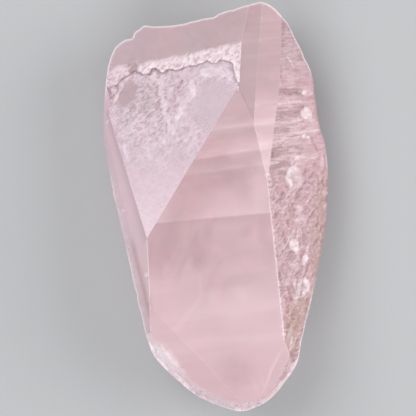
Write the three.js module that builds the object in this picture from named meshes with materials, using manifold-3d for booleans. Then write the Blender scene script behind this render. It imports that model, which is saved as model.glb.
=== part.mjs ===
// A loose morganite (pink beryl) crystal: one solid, lying on the flat face of its back.
// Millimetres, +Z up. +Y runs along the crystal to its broad broken end, and the origin is
// the middle of the bounding box at the height of the surface that it rests on.
//
// The crystal is the upright prism of its outline, cut from above by the front facets and from
// below by the back ones. A facet is a plane given as a height over (x, y), and it hinges on the
// edge that it shares with its neighbour, so the edges meet where their end points say.
import * as THREE from "three";
import { mergeVertices } from "three/addons/utils/BufferGeometryUtils.js";
import Module from "manifold-3d";

const wasm = await Module();
wasm.setup();

// ---- Driving dimensions ----------------------------------------------------------------

const MAIN_FACE_HEIGHT = 19.5; // at the corner where the three front faces meet
const MAIN_FACE_FALL = [0.1, -0.02]; // for each millimetre along +X and +Y
const LAYER_THICKNESS = 0.5; // of the growth layer at its right-hand end
const LAYER_THICKENING = 0.03; // more layer for each millimetre further left
const LAYER_THINNING = 0.02; // and less for each millimetre further up
const STOCK = { low: -1, high: 30 }; // the upright prism that the facets cut
const CUTTER_PLAN = { x: 60, y: 90 };
const CUTTER_REACH = 400; // cutters run this far up or down

// The outline seen from the front, clockwise from the top corner.
const OUTLINE = [
  [8.3, 36.7], [10.3, 35.8], [11.9, 34.2], [13.3, 32.5], [14.4, 30.3], [16.0, 27.1],
  [17.3, 24.1], [17.9, 19.8], [18.7, 14.9], [19.8, 11.1], [20.3, 4.5], [20.0, -0.5],
  [19.5, -5.2], [18.6, -10.4], [17.4, -16.0], [16.0, -21.4], [15.1, -25.4], [14.6, -27.9],
  [12.6, -31.1], [9.6, -34.5], [6.5, -36.2], [4.3, -36.7], [0.7, -35.8], [-3.1, -34.2],
  [-6.3, -31.7], [-9.0, -29.2], [-11.2, -26.6], [-12.2, -24.1], [-13.9, -17.6],
  [-15.5, -10.3], [-17.3, -2.9], [-18.9, 4.1], [-20.0, 10.3], [-20.3, 14.8], [-20.0, 20.2],
  [-19.4, 25.6], [-18.4, 28.4], [-16.6, 30.0], [-15.2, 30.5], [-14.8, 31.3], [-13.8, 32.1],
  [-12.8, 32.7], [-11.6, 32.5], [-7.2, 32.7], [-2.9, 33.7], [-0.3, 34.1], [0.5, 34.7],
  [1.5, 35.0], [4.9, 36.0],
];
const OUTLINE_STEPS = 138;

// Corners of the front facets, as (x, y).
const MAIN_CORNER = [-12.3, -5.5]; // of the main, triangular and left faces
const TRIANGLE_TOP = [3.2, 20.5];
const LEFT_TOP = [-20.1, 19.5];
const CREST_CORNER = [9.2, 4.8]; // of the main face, the bevel and the ribbed side
const CREST_TOP = [12.6, 31.5];
const CREST_UPPER_PART = [[11.45, 22.5], [11.75, 33.0]]; // where the crest turns more upright
const UPPER_FACE_FOOT = [6.7, 15.3];
const UPPER_FACE_LEFT = [3.9, 21.3];
const BEVEL_TOP = [8.2, 36.1];
const LEDGE_SLOPE_TOP = [[-14.0, 25.5], [4.8, 29.5]];
const OUTER_LEFT_EDGE = [[-15.9, -2.3], [-12.3, -17.0]];
const LOWER_LEFT_EDGE = [[-10.3, -19.2], [1.6, -31.7]];
const LOWER_RIGHT_EDGE = [[8.2, -33.5], [12.3, -24.0]];

// How far each front face falls below its neighbour for each millimetre away from their edge.
const FALL = {
  triangular: 0.42,
  left: 0.9,
  outerLeft: 0.8,
  ledgeSlope: 0.09,
  upper: 0.28,
  bevel: 0.197,
  ribbed: 0.24,
  ribbedTop: 0.28,
  lowerLeft: 0.22,
  lowerRight: 0.25,
};

// The chipped rim below: the inner corners of its faces, and how far each face falls.
const RIM_CORNERS = [
  [-10.9, -23.4], [-7.8, -27.9], [-2.3, -32.5], [4.2, -35.2], [8.7, -34.3], [12.6, -30.3],
  [14.5, -26.4],
];
const RIM_FALLS = [1.5, 1.7, 1.9, 1.7, 1.4, 1.1];

// The lower edge of the growth layer, from left to right: a plain curve, then its scallops.
const LEDGE = [
  [-30, 11], [-19.6, 17.2], [-18.4, 18.9], [-17.2, 21.2], [-16.6, 22.4], [-14.8, 23.7],
  [-13.9, 24.3], [-13.1, 23.7], [-12.0, 23.9], [-11.3, 24.9], [-10.7, 24.9], [-9.7, 24.0],
  [-8.5, 24.7], [-7.2, 24.4], [-5.2, 25.1], [-3.4, 25.4], [-1.6, 26.2], [-0.3, 25.5],
  [0.7, 26.3], [1.8, 26.1], [2.9, 25.7], [3.4, 22.8], [3.9, 21.3], [30, 10],
];

// The back facets, clockwise seen from the front: the girdle points that each passes through,
// as (x, y, z), and how many millimetres it drops for each millimetre inwards.
const BACK_FACETS = [
  { from: [-12.9, 32.6, 9.6], to: [8.3, 36.9, 10.5], drop: 3.6 },
  { from: [8.3, 36.9, 10.5], to: [13.5, 32.0, 9.0], drop: 2.4 },
  { from: [13.5, 32.0, 9.0], to: [20.6, 8.0, 5.2], drop: 1.6 },
  { from: [20.6, 8.0, 5.2], to: [19.6, -6.0, 7.2], drop: 1.6 },
  { from: [19.6, -6.0, 7.2], to: [14.6, -27.5, 10.4], drop: 1.7 },
  { from: [14.6, -27.5, 10.4], to: [6.5, -36.4, 7.0], drop: 1.25 },
  { from: [6.5, -36.4, 7.0], to: [-3.1, -34.4, 7.0], drop: 1.1 },
  { from: [-3.1, -34.4, 7.0], to: [-12.2, -25.0, 9.9], drop: 1.2 },
  { from: [-12.4, -24.0, 10.2], to: [-20.6, 10.3, 8.0], drop: 1.75 },
  { from: [-20.6, 10.3, 8.0], to: [-19.0, 27.5, 8.6], drop: 2.0 },
  { from: [-19.0, 27.5, 8.6], to: [-12.9, 32.6, 9.6], drop: 2.8 },
];

// The ribbed side: ribs that lean across it, coarse near the broad end and faint further down.
const RIB_LEAN = THREE.MathUtils.degToRad(8);
const RIB_PITCH = 3.4;
const RIB_HEIGHT = 0.3;
const FINE_RIB_PITCH = 1.15;
const FINE_RIB_HEIGHT = 0.11;
const RIBS_MIDDLE = 15; // the ribs are highest at this distance along the crystal
const RIBS_SPREAD = 11;
const LUMP_HEIGHT = 0.22;
const RIB_GRID = { cellX: 0.8, cellY: 0.55 };

// Shell-shaped pits and chips: middle (x, y), half sizes (x, y) and depth.
const SIDE_PITS = [
  { at: [13.2, 5.0], half: [1.2, 2.5], depth: 0.4 },
  { at: [14.9, 9.3], half: [1.5, 1.1], depth: 0.3 },
  { at: [15.4, 16.9], half: [1.4, 1.0], depth: 0.3 },
  { at: [14.4, -7.4], half: [1.2, 1.9], depth: 0.4 },
  { at: [16.1, -11.2], half: [1.0, 1.5], depth: 0.35 },
  { at: [15.6, -15.2], half: [0.9, 2.3], depth: 0.4 },
  { at: [13.6, -21.8], half: [0.8, 2.1], depth: 0.35 },
  { at: [18.0, 5.6], half: [1.0, 1.9], depth: 0.35 },
];
const CREST_CHIPS = [
  { at: [9.1, 5.6], half: [0.45, 0.6], depth: 0.25 },
  { at: [9.5, 4.3], half: [0.4, 0.5], depth: 0.22 },
  { at: [7.0, 15.6], half: [0.35, 0.6], depth: 0.18 },
];
const RIM_CHIPS = { count: 15, first: 0.44, last: 0.61, length: 1.9, reach: 0.4 };

// Shell fractures in the broad broken end: middle, half sizes and turn about Z in degrees.
const END_SHELLS = [
  { at: [-9.4, 37.7, 8.4], half: [12.5, 6.0, 8.6], turn: 3 },
  { at: [0.6, 39.6, 3.2], half: [12.0, 6.0, 9.0], turn: 14 },
  { at: [7.6, 40.4, 9.6], half: [9.0, 4.6, 8.6], turn: 4 },
  { at: [15.4, 37.2, 6.4], half: [8.6, 4.4, 7.4], turn: -46 },
];

// ---- Planes ----------------------------------------------------------------------------

// The unit vector to the right of the way from one plan point to another.
function rightOf([x0, y0], [x1, y1]) {
  const length = Math.hypot(x1 - x0, y1 - y0);
  return [(y1 - y0) / length, (x0 - x1) / length];
}

// A plane that meets another over the line from start to end, and falls away on its right.
function hinged(plane, start, end, fall) {
  const [nx, ny] = rightOf(start, end);
  return (x, y) => plane(x, y) - fall * (nx * (x - start[0]) + ny * (y - start[1]));
}

// A plane through two girdle points that drops inwards, to the right of the way between them.
function undercut({ from, to, drop }) {
  const [dx, dy] = [to[0] - from[0], to[1] - from[1]];
  const along = (x, y) => ((x - from[0]) * dx + (y - from[1]) * dy) / (dx * dx + dy * dy);
  const level = (x, y) => from[2] + (to[2] - from[2]) * along(x, y);
  return hinged(level, from, to, drop);
}

const mainFace = (x, y) =>
  MAIN_FACE_HEIGHT -
  MAIN_FACE_FALL[0] * (x - MAIN_CORNER[0]) -
  MAIN_FACE_FALL[1] * (y - MAIN_CORNER[1]);
const triangularFace = hinged(mainFace, TRIANGLE_TOP, MAIN_CORNER, FALL.triangular);
const leftFace = hinged(triangularFace, LEFT_TOP, MAIN_CORNER, FALL.left);
const outerLeftFace = hinged(leftFace, ...OUTER_LEFT_EDGE, FALL.outerLeft);
const upperFace = hinged(mainFace, UPPER_FACE_FOOT, UPPER_FACE_LEFT, FALL.upper);
const bevel = hinged(upperFace, UPPER_FACE_FOOT, BEVEL_TOP, FALL.bevel);
const lowerRibbedSide = hinged(bevel, CREST_CORNER, CREST_TOP, FALL.ribbed);
const upperRibbedSide = hinged(bevel, ...CREST_UPPER_PART, FALL.ribbedTop);
const ribbedSide = (x, y) => Math.min(lowerRibbedSide(x, y), upperRibbedSide(x, y));
const lowerLeftFace = hinged(mainFace, ...LOWER_LEFT_EDGE, FALL.lowerLeft);
const lowerRightFace = hinged(mainFace, ...LOWER_RIGHT_EDGE, FALL.lowerRight);

// Each rim face hinges on the lowest of the faces that it borders.
const lowerFaces = (x, y) => [mainFace, lowerLeftFace, lowerRightFace].sort(
  (a, b) => a(x, y) - b(x, y),
);
const rimFaces = RIM_FALLS.map((fall, i) => {
  const [start, end] = [RIM_CORNERS[i], RIM_CORNERS[i + 1]];
  const [lowest] = lowerFaces((start[0] + end[0]) / 2, (start[1] + end[1]) / 2);
  return hinged(lowest, start, end, fall);
});

const layerThickness = (x, y) =>
  LAYER_THICKNESS +
  LAYER_THICKENING * (UPPER_FACE_LEFT[0] - x) +
  LAYER_THINNING * (UPPER_FACE_LEFT[1] - y);
const layerTop = (x, y) => triangularFace(x, y) + layerThickness(x, y);

// The frosted slope along the ledge: the layer thins from here down to its scalloped lip.
const ledgeSlope = hinged(layerTop, ...LEDGE_SLOPE_TOP, FALL.ledgeSlope);

// ---- Relief ----------------------------------------------------------------------------

const gaussian = (t) => Math.exp(-t * t);
const smoothStep = (t) => THREE.MathUtils.smoothstep(t, 0, 1);

// Ribs with one steep flank, a sum of a sine and its octave.
const ribWave = (t) => Math.sin(2 * Math.PI * t) + 0.35 * Math.sin(4 * Math.PI * t);

// The ribbed side's height: its plane, the ribs, and lumps where the ribs fade out.
function ribbedHeight(x, y) {
  const across = y * Math.cos(RIB_LEAN) - x * Math.sin(RIB_LEAN);
  const ribs = gaussian((across - RIBS_MIDDLE) / RIBS_SPREAD);
  const beyondCrest = Math.min(mainFace(x, y), bevel(x, y)) - ribbedSide(x, y);
  const wander = 0.25 * Math.sin(0.9 * x + 0.35 * y);
  const coarse = RIB_HEIGHT * ribWave(across / RIB_PITCH + wander);
  const fine = FINE_RIB_HEIGHT * ribWave(across / FINE_RIB_PITCH + 2 * wander);
  const lumps =
    LUMP_HEIGHT *
    Math.sin(1.9 * x + 0.8 * y + Math.sin(0.7 * y)) *
    Math.sin(1.3 * y - 0.9 * x + 2 * Math.sin(0.5 * x));
  const relief = ribs * (coarse + fine) + (1 - ribs) * lumps;
  return ribbedSide(x, y) + smoothStep(beyondCrest / 0.8) * relief;
}

// ---- Solids ----------------------------------------------------------------------------

// A three.js geometry as a manifold solid, its shared vertices merged.
function solidFrom(geometry) {
  for (const name of Object.keys(geometry.attributes))
    if (name !== "position") geometry.deleteAttribute(name);
  const merged = mergeVertices(geometry, 1e-5);
  return new wasm.Manifold(
    new wasm.Mesh({
      numProp: 3,
      vertProperties: new Float32Array(merged.attributes.position.array),
      triVerts: new Uint32Array(merged.index.array),
    }),
  );
}

// Moves each vertex of a geometry to place(x, y, z).
function reshape(geometry, place) {
  const position = geometry.attributes.position;
  for (let i = 0; i < position.count; i++)
    position.setXYZ(i, ...place(position.getX(i), position.getY(i), position.getZ(i)));
  return geometry;
}

// All that lies above (side 1) or below (side -1) a height over the plan. The cutter is a box
// whose near face takes the height, on a grid of the given numbers of cells.
function beyond(height, side, cellsX = 1, cellsY = 1) {
  const box = new THREE.BoxGeometry(CUTTER_PLAN.x, CUTTER_PLAN.y, 1, cellsX, cellsY, 1);
  const far = side * CUTTER_REACH;
  return solidFrom(
    reshape(box, (x, y, z) => [x, y, z * side < 0 ? height(x, y) : far]),
  );
}

// The upright prism over a plan shape, as high as the stock.
function prism(shape) {
  const depth = STOCK.high - STOCK.low;
  const geometry = new THREE.ExtrudeGeometry(shape, { depth, bevelEnabled: false });
  return solidFrom(geometry.translate(0, 0, STOCK.low));
}

// The outline as a closed curve; it runs clockwise, so the shape is drawn from its end.
const outlineCurve = new THREE.CatmullRomCurve3(
  OUTLINE.map(([x, y]) => new THREE.Vector3(x, y, 0)),
  true,
);

function outlinePrism() {
  const points = outlineCurve.getSpacedPoints(OUTLINE_STEPS).slice(0, -1).reverse();
  return prism(new THREE.Shape(points.map(({ x, y }) => new THREE.Vector2(x, y))));
}

// The prism over the ground on one side of the ledge, up to a far edge at y = edge.
function ledgePrism(edge) {
  const points = LEDGE.map(([x, y]) => new THREE.Vector2(x, y));
  const [first, last] = [points[0], points[points.length - 1]];
  points.push(new THREE.Vector2(last.x, edge), new THREE.Vector2(first.x, edge));
  return prism(new THREE.Shape(points));
}

// An ellipsoid to scoop out of the crystal, in so many steps around.
function scoop([x, y, z], [halfX, halfY, halfZ], turn = 0, steps = 14) {
  const ball = new THREE.SphereGeometry(1, steps, Math.round(steps * 0.7));
  ball.scale(halfX, halfY, halfZ).rotateZ(turn).translate(x, y, z);
  return solidFrom(ball);
}

// The front's height without its relief, for placing pits and chips.
const frontFaces = [
  mainFace, layerTop, leftFace, outerLeftFace, upperFace, bevel, ribbedSide,
  lowerLeftFace, lowerRightFace, ...rimFaces,
];
const frontHeight = (x, y) => Math.min(...frontFaces.map((face) => face(x, y)));

// A shallow pit in the front: a ball that reaches down by its depth.
function frontPit({ at: [x, y], half: [halfX, halfY], depth }) {
  return scoop([x, y, frontHeight(x, y) + depth], [halfX * 1.4, halfY * 1.4, depth * 2]);
}

// Chips along the lower rim, longer than they are deep, each at its own place and size.
function rimChip(index) {
  const { count, first, last, length, reach } = RIM_CHIPS;
  const share = first + ((last - first) * (index + 0.3 * Math.sin(5 * index))) / count;
  const { x, y } = outlineCurve.getPointAt(share);
  const along = outlineCurve.getTangentAt(share);
  const half = length * (0.7 + 0.35 * Math.sin(2.4 * index));
  const outwards = 1 + (half * 0.6 * (1 - reach)) / Math.hypot(x, y);
  const middle = [x * outwards, y * outwards, frontHeight(x, y) + 0.2 * half];
  return scoop(middle, [half, half * 0.6, half * 0.75], Math.atan2(along.y, along.x));
}

// ---- The crystal -----------------------------------------------------------------------

function crystalSolid() {
  let solid = outlinePrism();
  const cut = (cutter) => {
    solid = solid.subtract(cutter);
  };
  const flatFronts = [
    mainFace, leftFace, outerLeftFace, upperFace, bevel, lowerLeftFace, lowerRightFace,
    ...rimFaces,
  ];
  flatFronts.forEach((face) => cut(beyond(face, 1)));
  cut(beyond(layerTop, 1));
  cut(beyond(triangularFace, 1).intersect(ledgePrism(-CUTTER_PLAN.y / 2)));
  cut(beyond(ledgeSlope, 1).intersect(ledgePrism(CUTTER_PLAN.y / 2)));
  const cellsX = Math.round(CUTTER_PLAN.x / RIB_GRID.cellX);
  const cellsY = Math.round(CUTTER_PLAN.y / RIB_GRID.cellY);
  cut(beyond(ribbedHeight, 1, cellsX, cellsY));
  BACK_FACETS.forEach((facet) => cut(beyond(undercut(facet), -1)));
  [...SIDE_PITS, ...CREST_CHIPS].forEach((pit) => cut(frontPit(pit)));
  for (let i = 0; i < RIM_CHIPS.count; i++) cut(rimChip(i));
  END_SHELLS.forEach(({ at, half, turn }) =>
    cut(scoop(at, half, THREE.MathUtils.degToRad(turn), 40)),
  );
  cut(beyond(() => 0, -1));
  return solid;
}

// A manifold solid as a three.js geometry.
function geometryFrom(solid) {
  const { numProp, vertProperties, triVerts } = solid.getMesh();
  const vertices = new THREE.InterleavedBuffer(vertProperties, numProp);
  const geometry = new THREE.BufferGeometry();
  geometry.setAttribute("position", new THREE.InterleavedBufferAttribute(vertices, 3, 0));
  geometry.setIndex(new THREE.BufferAttribute(triVerts, 1));
  return geometry;
}

const beryl = new THREE.MeshStandardMaterial({
  color: new THREE.Color("#e3b9c3"),
  roughness: 0.25,
  metalness: 0,
});

const crystal = new THREE.Mesh(geometryFrom(crystalSolid()), beryl);
crystal.name = "crystal";

const part = new THREE.Group();
part.add(crystal);
export default part;
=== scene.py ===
"""A loose morganite crystal that lies on its flat back: one grown piece of milky pink beryl.

The frame gives the place and the sizes. The surface is worked out with numpy in millimetres, in
three parts that share their edges: the front is a height over a lattice that fits the outline and
the facet edges, the sides are rows of rings below its border, and the rings close over the back
on a line. Everything is turned into metres when the mesh is made.
"""

import itertools
import math
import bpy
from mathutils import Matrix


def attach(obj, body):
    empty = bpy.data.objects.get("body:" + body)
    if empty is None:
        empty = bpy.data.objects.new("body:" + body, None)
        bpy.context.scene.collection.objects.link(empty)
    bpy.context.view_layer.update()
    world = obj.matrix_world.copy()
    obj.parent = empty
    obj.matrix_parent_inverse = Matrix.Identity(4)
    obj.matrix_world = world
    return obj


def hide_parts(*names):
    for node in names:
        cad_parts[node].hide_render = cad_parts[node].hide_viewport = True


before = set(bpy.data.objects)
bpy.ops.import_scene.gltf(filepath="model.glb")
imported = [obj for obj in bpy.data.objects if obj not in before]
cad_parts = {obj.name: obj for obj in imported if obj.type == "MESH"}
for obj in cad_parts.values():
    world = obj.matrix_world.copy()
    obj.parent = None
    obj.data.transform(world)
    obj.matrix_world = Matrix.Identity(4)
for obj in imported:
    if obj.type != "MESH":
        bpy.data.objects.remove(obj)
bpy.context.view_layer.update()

from types import SimpleNamespace

import bpy
import numpy as np
from mathutils import Vector

MM = 0.001

# ---- Outline and facet corners, seen from the front, in millimetres ------------------------

OUTLINE = np.array([
    (8.3, 36.7), (10.3, 35.8), (11.9, 34.2), (13.3, 32.5), (14.4, 30.3), (16.0, 27.1),
    (17.3, 24.1), (17.9, 19.8), (18.7, 14.9), (19.8, 11.1), (20.3, 4.5), (20.0, -0.5),
    (19.5, -5.2), (18.6, -10.4), (17.4, -16.0), (16.0, -21.4), (15.1, -25.4), (14.6, -27.9),
    (12.6, -31.1), (9.6, -34.5), (6.5, -36.2), (4.3, -36.7), (0.7, -35.8), (-3.1, -34.2),
    (-6.3, -31.7), (-9.0, -29.2), (-11.2, -26.6), (-12.2, -24.1), (-13.9, -17.6),
    (-15.5, -10.3), (-17.3, -2.9), (-18.9, 4.1), (-20.0, 10.3), (-20.3, 14.8), (-20.0, 20.2),
    (-19.4, 25.6), (-18.4, 28.4), (-16.6, 30.0), (-15.2, 30.5), (-14.8, 31.3), (-13.8, 32.1),
    (-12.8, 32.7), (-11.6, 32.5), (-7.2, 32.7), (-2.9, 33.7), (-0.3, 34.1), (0.5, 34.7),
    (1.5, 35.0), (4.9, 36.0),
])
BOX_MARGIN = 0.03  # the outline keeps this far inside the CAD outline
HALF_WIDTH = 20.0

MAIN_FACE_HEIGHT = 19.5
MAIN_FACE_FALL = (0.1, -0.02)
MAIN_CORNER = (-12.3, -5.5)
TRIANGLE_TOP = (3.2, 20.5)
LEFT_TOP = (-20.1, 19.5)
CREST_CORNER = (9.2, 4.8)
CREST_TOP = (12.6, 31.5)
CREST_UPPER_PART = ((11.45, 22.5), (11.75, 33.0))
UPPER_FACE_FOOT = (6.7, 15.3)
UPPER_FACE_LEFT = (3.9, 21.3)
BEVEL_TOP = (8.2, 36.1)
OUTER_LEFT_EDGE = ((-15.9, -2.3), (-12.3, -17.0))
LOWER_LEFT_EDGE = ((-10.3, -19.2), (1.6, -31.7))
LOWER_RIGHT_EDGE = ((8.2, -33.5), (12.3, -24.0))
# How far each face falls below its neighbour for each millimetre away from their edge.
FALL = {
    "triangle": 0.42, "left": 0.9, "outer_left": 0.8, "upper": 0.28, "bevel": 0.197,
    "ribbed": 0.24, "ribbed_top": 0.28, "lower_left": 0.22, "lower_right": 0.25,
}
# The faces of the chipped rim below: their inner corners, and how far each one falls.
RIM_CORNERS = (
    (-10.9, -23.4), (-7.8, -27.9), (-2.3, -32.5), (4.2, -35.2), (8.7, -34.3), (12.6, -30.3),
    (14.5, -26.4),
)
RIM_FALLS = (1.5, 1.7, 1.9, 1.7, 1.4, 1.1)

# The growth layer over the top of the triangular face: its scalloped lower edge, a low terrace
# on its left part, and the line above the terrace where its frost begins.
LAYER_THICKNESS = 0.5  # at the left corner of the upper face
LAYER_THICKENING = 0.03  # for each millimetre to the left
LAYER_THINNING = 0.02  # for each millimetre upwards
LEDGE_SLOPE_TOP = ((-14.0, 25.5), (4.8, 29.5))
LEDGE_SLOPE_FALL = 0.09
LEDGE_STEP = 0.2  # how wide the step of the ledge is
LEFT_STEP = 1.1  # and on its left part
LEFT_PART = -14.0  # where that part ends
TERRACE_END = -14.2
LEDGE = np.array([
    (-30, 11), (-19.6, 17.2), (-18.9, 18.1), (-18.4, 18.9), (-17.2, 21.2), (-16.6, 22.4),
    (-14.8, 23.7), (-13.9, 24.3), (-13.1, 23.7), (-12.0, 23.9), (-11.5, 24.8), (-10.8, 24.9),
    (-10.0, 24.2), (-9.5, 24.0), (-8.8, 24.6), (-8.1, 24.7), (-7.2, 24.4), (-5.9, 24.9),
    (-4.7, 25.3), (-3.8, 25.3), (-2.9, 25.6), (-2.2, 25.8), (-1.6, 26.2), (-0.7, 25.6),
    (0.0, 25.6), (0.7, 26.3), (1.8, 26.1), (2.9, 25.7), (3.1, 24.6), (3.4, 23.2), (3.75, 22.3),
    (30, 13),
])
TERRACE = np.array([
    (-30, 17), (-19.9, 21.0), (-19.5, 21.4), (-17.7, 21.9), (-16.6, 23.2), (-15.0, 24.1),
    (-14.4, 24.4), (-13.8, 24.1), (-13.4, 23.0), (-13.2, 15),
])
TERRACE_STEP = 0.35
FROST_LINE = np.array([
    (-30, 20), (-20.0, 23.4), (-19.2, 24.2), (-17.7, 25.4), (-15.2, 25.8), (-14.4, 26.4),
    (-10, 27),
])

# Back facets, clockwise: two girdle points (x, y, z) and the drop for each millimetre inwards.
BACK_FACETS = (
    ((-12.9, 32.6, 9.6), (8.3, 36.9, 10.5), 3.6),
    ((8.3, 36.9, 10.5), (13.5, 32.0, 9.0), 2.4),
    ((13.5, 32.0, 9.0), (20.6, 8.0, 5.2), 1.6),
    ((20.6, 8.0, 5.2), (19.6, -6.0, 7.2), 1.6),
    ((19.6, -6.0, 7.2), (14.6, -27.5, 10.4), 1.7),
    ((14.6, -27.5, 10.4), (6.5, -36.4, 7.0), 1.25),
    ((6.5, -36.4, 7.0), (-3.1, -34.4, 7.0), 1.1),
    ((-3.1, -34.4, 7.0), (-12.2, -25.0, 9.9), 1.2),
    ((-12.4, -24.0, 10.2), (-20.6, 10.3, 8.0), 1.75),
    ((-20.6, 10.3, 8.0), (-19.0, 27.5, 8.6), 2.0),
    ((-19.0, 27.5, 8.6), (-12.9, 32.6, 9.6), 2.8),
)

# Shell fractures in the broad broken end: middle, half sizes, turn in degrees.
END_SHELLS = (
    ((-9.4, 37.7, 8.4), (12.5, 6.0, 8.6), 3),
    ((0.6, 39.6, 3.2), (12.0, 6.0, 9.0), 14),
    ((7.6, 40.4, 9.6), (9.0, 4.6, 8.6), 4),
    ((15.4, 37.2, 6.4), (8.6, 4.4, 7.4), -46),
)

# ---- Mesh density --------------------------------------------------------------------------

OUTLINE_STEPS = 520
SPACING = 0.2  # of the front's lattice
LATTICE_REACH = (21.0, 37.6)  # half its width and half its length
OUT_OF_REACH = 99.0  # the height of a facet where it doesn't exist
RING_STEPS = 896  # vertices around each ring of the sides
WALL_ROWS = 14  # rings down the upright side
UNDER_ROWS = 26  # rings over the back facets, with half as many vertices
BASE_ROWS = 14  # rings over the flat back, with a quarter as many
LOWEST_GIRDLE = 1.0  # where the back facets end at the sides, at the least
LEAST_WALL = 0.8  # the upright side is at least this high
SPINE = ((1.0, 26.0), (1.5, -25.0))  # the line over which the rings close
SPINE_ENDS = 0.1  # the share of the way around that gathers at each end of it


# ---- Curves and noise ------------------------------------------------------------------------


def smooth(t):
    """3 t^2 - 2 t^3 between 0 and 1, and level outside."""
    t = np.clip(t, 0.0, 1.0)
    return t * t * (3.0 - 2.0 * t)


def ramp(value, start, end):
    """0 at start and 1 at end, with `smooth` between them; the start may lie above the end."""
    return smooth((value - start) / (end - start))


def bell(distance, width):
    """exp(-(distance / width)^2): 1 at no distance and almost 0 past twice the width."""
    return np.exp(-((distance / width) ** 2))


def turned(x, y, turn):
    """The distances along and across a direction that lies at an angle from x."""
    cosine, sine = math.cos(turn), math.sin(turn)
    return x * cosine + y * sine, y * cosine - x * sine


def noise(x, y, cell, seed, octaves=3, z=None):
    """Value noise in -1..1: random numbers at the corners of cubes with side `cell`, blended by
    `smooth` across each cube; each further octave halves the cell and the height."""
    z = np.zeros_like(x) if z is None else z
    table = np.random.default_rng(seed).uniform(-1.0, 1.0, (64, 64, 64))
    total, height, sum_of_heights = np.zeros_like(x), 1.0, 0.0
    for octave in range(octaves):
        corners, shares = [], []
        for axis, value in enumerate((x, y, z)):
            place = value / cell + 17.3 * octave + 5.1 * axis
            low = np.floor(place).astype(int)
            corners.append((low & 63, (low + 1) & 63))
            shares.append(smooth(place - low))
        for ends in itertools.product((0, 1), repeat=3):
            weight = math.prod(share if end else 1 - share for share, end in zip(shares, ends))
            corner = tuple(pair[end] for pair, end in zip(corners, ends))
            total += height * weight * table[corner]
        sum_of_heights += height
        height, cell = height / 2, cell / 2
    return total / sum_of_heights


def stretched_noise(x, y, cell, stretch, turn_deg, seed):
    """Value noise whose features are `stretch` times longer along a direction than across it."""
    along, across = turned(x, y, math.radians(turn_deg))
    return noise(along / stretch, across, cell, seed, 3)


# ---- Planes and paths ------------------------------------------------------------------------


def right_of(start, end):
    """The unit vector to the right of the way from start to end."""
    along = np.subtract(end, start)[:2] / math.dist(start[:2], end[:2])
    return np.array([along[1], -along[0]])


def hinged(plane, start, end, fall):
    """The plane z = a x + b y + c that meets `plane` over the line start-end and falls on its
    right: z - fall * (distance to the right of the line)."""
    a, b, c = plane
    nx, ny = right_of(start, end)
    return np.array([a - fall * nx, b - fall * ny, c + fall * (nx * start[0] + ny * start[1])])


def height_on(plane, x, y):
    """a x + b y + c."""
    return plane[0] * x + plane[1] * y + plane[2]


def front_planes():
    """Each front facet's plane as (a, b, c), by name."""
    fall_x, fall_y = MAIN_FACE_FALL
    level = MAIN_FACE_HEIGHT + fall_x * MAIN_CORNER[0] + fall_y * MAIN_CORNER[1]
    main = np.array([-fall_x, -fall_y, level])
    triangle = hinged(main, TRIANGLE_TOP, MAIN_CORNER, FALL["triangle"])
    left = hinged(triangle, LEFT_TOP, MAIN_CORNER, FALL["left"])
    upper = hinged(main, UPPER_FACE_FOOT, UPPER_FACE_LEFT, FALL["upper"])
    bevel = hinged(upper, UPPER_FACE_FOOT, BEVEL_TOP, FALL["bevel"])
    left_x, left_y = UPPER_FACE_LEFT
    lift = LAYER_THICKNESS + LAYER_THICKENING * left_x + LAYER_THINNING * left_y
    planes = {
        "main": main,
        "triangle": triangle,
        "layer": triangle + np.array([-LAYER_THICKENING, -LAYER_THINNING, lift]),
        "left": left,
        "outer_left": hinged(left, *OUTER_LEFT_EDGE, FALL["outer_left"]),
        "upper": upper,
        "bevel": bevel,
        "ribbed": hinged(bevel, CREST_CORNER, CREST_TOP, FALL["ribbed"]),
        "ribbed_top": hinged(bevel, *CREST_UPPER_PART, FALL["ribbed_top"]),
        "lower_left": hinged(main, *LOWER_LEFT_EDGE, FALL["lower_left"]),
        "lower_right": hinged(main, *LOWER_RIGHT_EDGE, FALL["lower_right"]),
    }
    for i, fall in enumerate(RIM_FALLS):
        start, end = RIM_CORNERS[i], RIM_CORNERS[i + 1]
        middle = np.add(start, end) / 2
        lowest = min(
            (planes[name] for name in ("main", "lower_left", "lower_right")),
            key=lambda plane: height_on(plane, *middle),
        )
        planes[f"rim_{i}"] = hinged(lowest, start, end, fall)
    return planes


def back_planes():
    """Each back facet's plane: level along its two girdle points, dropping to their right."""
    planes = []
    for start, end, drop in BACK_FACETS:
        along = np.subtract(end, start)[:2]
        slope = (end[2] - start[2]) / (along @ along) * along
        level = np.array([*slope, start[2] - slope @ start[:2]])
        planes.append(hinged(level, start, end, drop))
    return planes


PLANES = front_planes()
NAMES = list(PLANES)
BACK_PLANES = back_planes()


def closed_curve(points, count):
    """A closed centripetal Catmull-Rom curve through the points, at `count` even steps: on each
    span x(t) is the cubic with the spans' end points and tangents."""
    before, after, last = (np.roll(points, shift, axis=0) for shift in (1, -1, -2))
    knots = [
        np.linalg.norm(b - a, axis=1)[:, None] ** 0.5
        for a, b in ((before, points), (points, after), (after, last))
    ]
    tangent_in = (
        (points - before) / knots[0] - (after - before) / (knots[0] + knots[1])
        + (after - points) / knots[1]
    ) * knots[1]
    tangent_out = (
        (after - points) / knots[1] - (last - points) / (knots[1] + knots[2])
        + (last - after) / knots[2]
    ) * knots[1]
    t = np.linspace(0, 1, 24, endpoint=False)[None, :, None]
    p0, p1, m0, m1 = (v[:, None, :] for v in (points, after, tangent_in, tangent_out))
    spans = (
        (2 * t**3 - 3 * t**2 + 1) * p0 + (t**3 - 2 * t**2 + t) * m0
        + (3 * t**2 - 2 * t**3) * p1 + (t**3 - t**2) * m1
    ).reshape(-1, 2)
    return even_steps(spans, count)


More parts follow.
